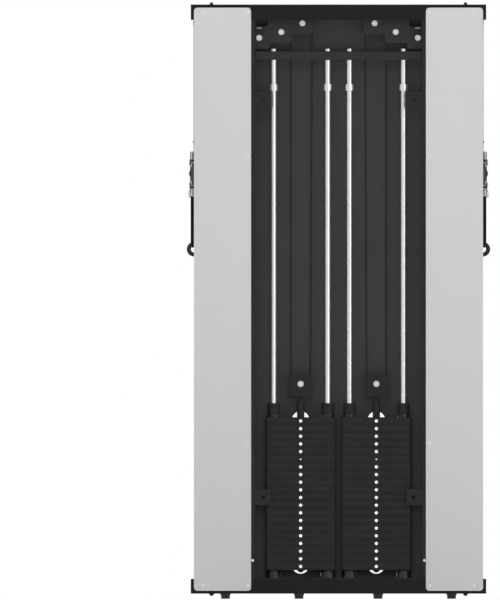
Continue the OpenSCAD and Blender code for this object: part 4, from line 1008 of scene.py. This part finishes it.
def rounded(points, radius, steps=4):
    """Rounds the inner corners of a path of 2-D points."""
    made = [Vector(points[0])]
    for before, corner, after in zip(points, points[1:], points[2:]):
        corner = Vector(corner)
        a = Vector(before) - corner
        b = Vector(after) - corner
        reach = min(radius, a.length * 0.45, b.length * 0.45)
        start = corner + a.normalized() * reach
        end = corner + b.normalized() * reach
        for i in range(steps + 1):
            t = i / steps
            made.append(start * (1 - t) ** 2 + corner * 2 * t * (1 - t) + end * t ** 2)
    return made + [Vector(points[-1])]


def sew(cloth, side, path, width):
    """Adds a band of webbing along (y, z) points, with y from the handle's middle."""
    cloth.add(band(yz(side, [(HANDLE_Y + y, z) for y, z in path]), width, STRAP_T, (1, 0, 0)))


def make_strap(side):
    body = side + "_strap"
    node = "right_strap"
    ring_z = high(node).z - D_R - D_WIRE
    bar_z = ring_z - D_BAR_DROP
    tight = D_CORNER * 0.3
    loop = [(CABLE_X + x, ring_z + z) for x, z in arc((0, 0), D_R, 0, 180, 24)]
    corners = [(D_R, D_CORNER), (D_R - tight, tight), (D_R - D_CORNER, 0)]
    loop += [(CABLE_X - x, bar_z + z) for x, z in corners]
    loop += [(CABLE_X + x, bar_z + z) for x, z in reversed(corners)]
    metal = Shape().add(tube([spot(side, x, HANDLE_Y, z) for x, z in loop], D_WIRE, 16, closed=True))
    metal.make(side + "_d_ring", "chrome", "chrome", body)
    # The band goes up, round the bar and down again, and is sewn through
    neck_z = bar_z + NECK_RISE - NECK_L
    wrap = [(-LAYER, neck_z), (-LAYER, bar_z - WRAP_DROP)]
    wrap += [polar((0, bar_z), WRAP_R, a) for a in range(180, -1, -20)]
    wrap += [(LAYER, bar_z - WRAP_DROP), (LAYER, neck_z)]
    cloth = Shape()
    sew(cloth, side, wrap, STRAP_W)
    # Two legs down to the grip
    shoulder = (GRIP_HALF + 2 * MM, neck_z + 1 * MM - STRAP_DROP)
    corner = (GRIP_HALF + 8 * MM, shoulder[1] - 10.5 * MM)
    for turn in (-1, 1):
        leg = [(turn * 0.9 * MM, bar_z - SEAM_DROP), (turn * 1.2 * MM, neck_z),
               (turn * shoulder[0], shoulder[1]), (turn * corner[0], corner[1])]
        sew(cloth, side, rounded(leg, 9 * MM), STRAP_W)
    # The narrower band through the grip
    bore_z = low(node).z + STRAP_T / 2
    turn_down = [(corner[0] - 1 * MM, corner[1] + 1.75 * MM), corner,
                 (corner[0] - 0.5 * MM, corner[1] - 7 * MM), (corner[0] - 5.5 * MM, bore_z)]
    through = turn_down + [(-y, z) for y, z in reversed(turn_down)]
    sew(cloth, side, rounded(through, 4 * MM), BORE_BAND_W)
    cloth.make(side + "_handle_webbing", "webbing", "webbing_black", body, [side + "_strap"])
    make_stitches(side, body, neck_z, bar_z)


def stitch_row(shape, a, b, count):
    step = (b - a) / count
    for i in range(count):
        start = a + step * (i + 0.15)
        end = a + step * (i + 0.85)
        shape.add(tube([start, start * 0.5 + end * 0.5, end], THREAD_R, 6))


def make_stitches(side, body, neck_z, bar_z):
    shape = Shape()
    inset = 3 * MM
    x0 = CABLE_X - STRAP_W / 2 + inset
    x1 = CABLE_X + STRAP_W / 2 - inset
    z0 = neck_z + inset
    z1 = bar_z - SEAM_DROP
    corners = [(x0, z0), (x1, z0), (x1, z1), (x0, z1)]
    lines = list(zip(corners, corners[1:] + corners[:1]))
    lines += [(corners[0], corners[2]), (corners[1], corners[3])]
    for face in (-STITCH_OUT, STITCH_OUT):
        for a, b in lines:
            start = spot(side, a[0], HANDLE_Y + face, a[1])
            end = spot(side, b[0], HANDLE_Y + face, b[1])
            stitch_row(shape, start, end, max(3, round((end - start).length / (4 * MM))))
    shape.make(side + "_neck_stitches", "thread", "webbing_black", body)


CAP_RIM = 0.5


def make_grip(side):
    body = side + "_grip"
    node = "right_grip"
    middle = centre(node)
    place = Vector((SIDES[side] * middle.x, middle.y, middle.z))
    flange_r = half_height(node) / MM
    half = (high(node).y - low(node).y) / 2 / MM
    end = half - 8.5
    foam = [(11.5, end), (14.6, end), (15.6, end - 0.8), (16.8, end - 4), (17.6, end - 9),
            (18.1, end * 0.55), (18.45, end * 0.25)]
    profile = foam + [(r, -h) for r, h in reversed(foam)]
    tubing = Shape().add(lathe(profile, 64, closed=True), aimed(place, USERWARD))
    tubing.make(side + "_foam_grip", "foam", "grip_black", body, [side + "_grip"])
    cap = [(11.2, CAP_RIM), (11.8, 0), (flange_r - 1, 0), (flange_r, -0.8), (flange_r, -3.8),
           (flange_r - 1.4, -4.8), (20.5, -5.6), (18.4, -6.6), (17.2, -8.4), (17.2, -12), (11.2, -12)]
    ends = Shape()
    for turn in (-1, 1):
        seat = place + Vector((0, turn * (half - CAP_RIM) * MM, 0))
        ends.add(lathe(cap, 64, closed=True), aimed(seat, (0, turn, 0)))
    ends.make(side + "_grip_end_caps", "nylon", "grip_black", body)


# A bare plate on the inner wall's outer face, behind the rail, and a screw low on the rail
INNER_WALL_X = 295 * MM
RAIL_SCREW_Z = 140.7 * MM
WALL_PLATE_T = 1.2
WALL_PLATE = [(-22, 151), (24, 151), (24, 165), (30, 165), (30, 298), (-22, 298)]


def make_wall_plate():
    plates = Shape()
    screws = Shape()
    face_x = high("carriage_rails").x
    # Stands a flat outline up: its x is depth and its y is height
    upright = Matrix(((0, 0, 1, 0), (1, 0, 0, 0), (0, 1, 0, 0), (0, 0, 0, 1)))
    for side in SIDES:
        placed = flipped(side) @ Matrix.Translation((INNER_WALL_X, 0, 0)) @ upright @ Matrix.Scale(MM, 4)
        plates.add(prism(WALL_PLATE, WALL_PLATE_T), placed)
        screws.add(button_head(5.5, 2.6, 1.8, 3, 2), put(side, face_x, 0, RAIL_SCREW_Z, (SIDES[side], 0, 0)))
    plates.make("wall_plates", "light_plate", "panel_silver", "root")
    screws.make("rail_screws", "bolt", "bright_bolt", "root")


# Studio
AMBIENT = 0.28
FLOOR_SIZE = 14
FLOOR_WHITE = 0.55
# Height on the machine's middle line that the lamps face
LAMP_AIM_Z = 1.0
# Each lamp's place, width, height and power, and whether shiny surfaces show it
LAMPS = [
    ((0, -6.6, 1.3), 1.5, 2.4, 168, False),
    ((0, -6.8, 5.2), 2.2, 2.2, 50, True),
    ((4.6, -5.2, 1.4), 1.6, 1.6, 42, True),
    ((0, 6.6, 1.3), 1.5, 2.4, 168, False),
    ((0, 6.8, 5.2), 2.2, 2.2, 50, True),
    ((-4.6, 5.2, 1.4), 1.6, 1.6, 42, True),
    ((-6.6, -0.1, 1.3), 1.2, 2.4, 205, False),
    ((-6.5, 0.6, 4.6), 2.6, 2.6, 60, True),
    ((6.6, -0.1, 1.3), 1.2, 2.4, 205, False),
    ((6.5, -0.6, 4.6), 2.6, 2.6, 60, True),
]


def plainly_seen(tree):
    """1 for what the camera sees, straight, by a reflection or through glass."""
    path = add_node(tree, "ShaderNodeLightPath")
    seen = add_node(tree, "ShaderNodeMath", operation="ADD")
    shown = add_node(tree, "ShaderNodeMath", operation="ADD", use_clamp=True)
    tree.links.new(path.outputs["Is Camera Ray"], seen.inputs[0])
    tree.links.new(path.outputs["Is Glossy Ray"], seen.inputs[1])
    tree.links.new(seen.outputs["Value"], shown.inputs[0])
    tree.links.new(path.outputs["Is Transmission Ray"], shown.inputs[1])
    return shown.outputs["Value"]


def mix_shaders(tree, share, first, second, output):
    """Sends first where the share is 0 and second where it is 1."""
    mix = add_node(tree, "ShaderNodeMixShader")
    out = add_node(tree, output)
    tree.links.new(share, mix.inputs["Fac"])
    tree.links.new(first.outputs[0], mix.inputs[1])
    tree.links.new(second.outputs[0], mix.inputs[2])
    tree.links.new(mix.outputs["Shader"], out.inputs["Surface"])


def make_background():
    world = bpy.data.worlds.new("studio")
    bpy.context.scene.world = world
    world.use_nodes = True
    tree = world.node_tree
    tree.nodes.clear()
    soft = add_node(tree, "ShaderNodeBackground", {"Color": (1, 1, 1, 1), "Strength": AMBIENT})
    white = add_node(tree, "ShaderNodeBackground", {"Color": (1, 1, 1, 1), "Strength": 1.0})
    mix_shaders(tree, plainly_seen(tree), soft, white, "ShaderNodeOutputWorld")


def make_floor():
    """A floor part diffuse and part plain white, so it stays pale and keeps the shadow."""
    material = bpy.data.materials.new("floor")
    material.use_nodes = True
    tree = material.node_tree
    tree.nodes.clear()
    diffuse = add_node(tree, "ShaderNodeBsdfDiffuse", {"Color": (0.86, 0.86, 0.86, 1)})
    white = add_node(tree, "ShaderNodeEmission", {"Color": (1, 1, 1, 1), "Strength": 1.0})
    share = add_node(tree, "ShaderNodeMath", {1: FLOOR_WHITE}, operation="MULTIPLY")
    tree.links.new(plainly_seen(tree), share.inputs[0])
    mix_shaders(tree, share.outputs["Value"], diffuse, white, "ShaderNodeOutputMaterial")
    half = FLOOR_SIZE / 2
    mesh = bpy.data.meshes.new("floor")
    corners = [(-half, -half, 0), (half, -half, 0), (half, half, 0), (-half, half, 0)]
    mesh.from_pydata(corners, [], [(0, 1, 2, 3)])
    mesh.materials.append(material)
    floor = bpy.data.objects.new("floor", mesh)
    bpy.context.scene.collection.objects.link(floor)


def make_lamps():
    for place, width, height, power, shine in LAMPS:
        data = bpy.data.lights.new("lamp", "AREA")
        data.shape = "RECTANGLE"
        data.size = width
        data.size_y = height
        data.energy = power
        lamp = bpy.data.objects.new("lamp", data)
        lamp.visible_glossy = shine
        lamp.matrix_world = aimed(Vector(place), Vector(place) - Vector((0, 0, LAMP_AIM_Z)), 1)
        bpy.context.scene.collection.objects.link(lamp)


make_camera()
bpy.context.scene.view_settings.view_transform = "Standard"
make_background()
make_floor()
make_lamps()
dress_cad()
make_axles()
make_screws()
make_frame_bolts()
make_wall_plate()
for side in SIDES:
    make_cables(side)
    make_pull_cable(side)
    make_stack(side)
    make_bearings(side)
    make_carriage(side)
    make_pop_pin(side)
    make_swivel(side)
    make_cable_stop(side)
    make_carabiner(side)
    make_strap(side)
    make_grip(side)
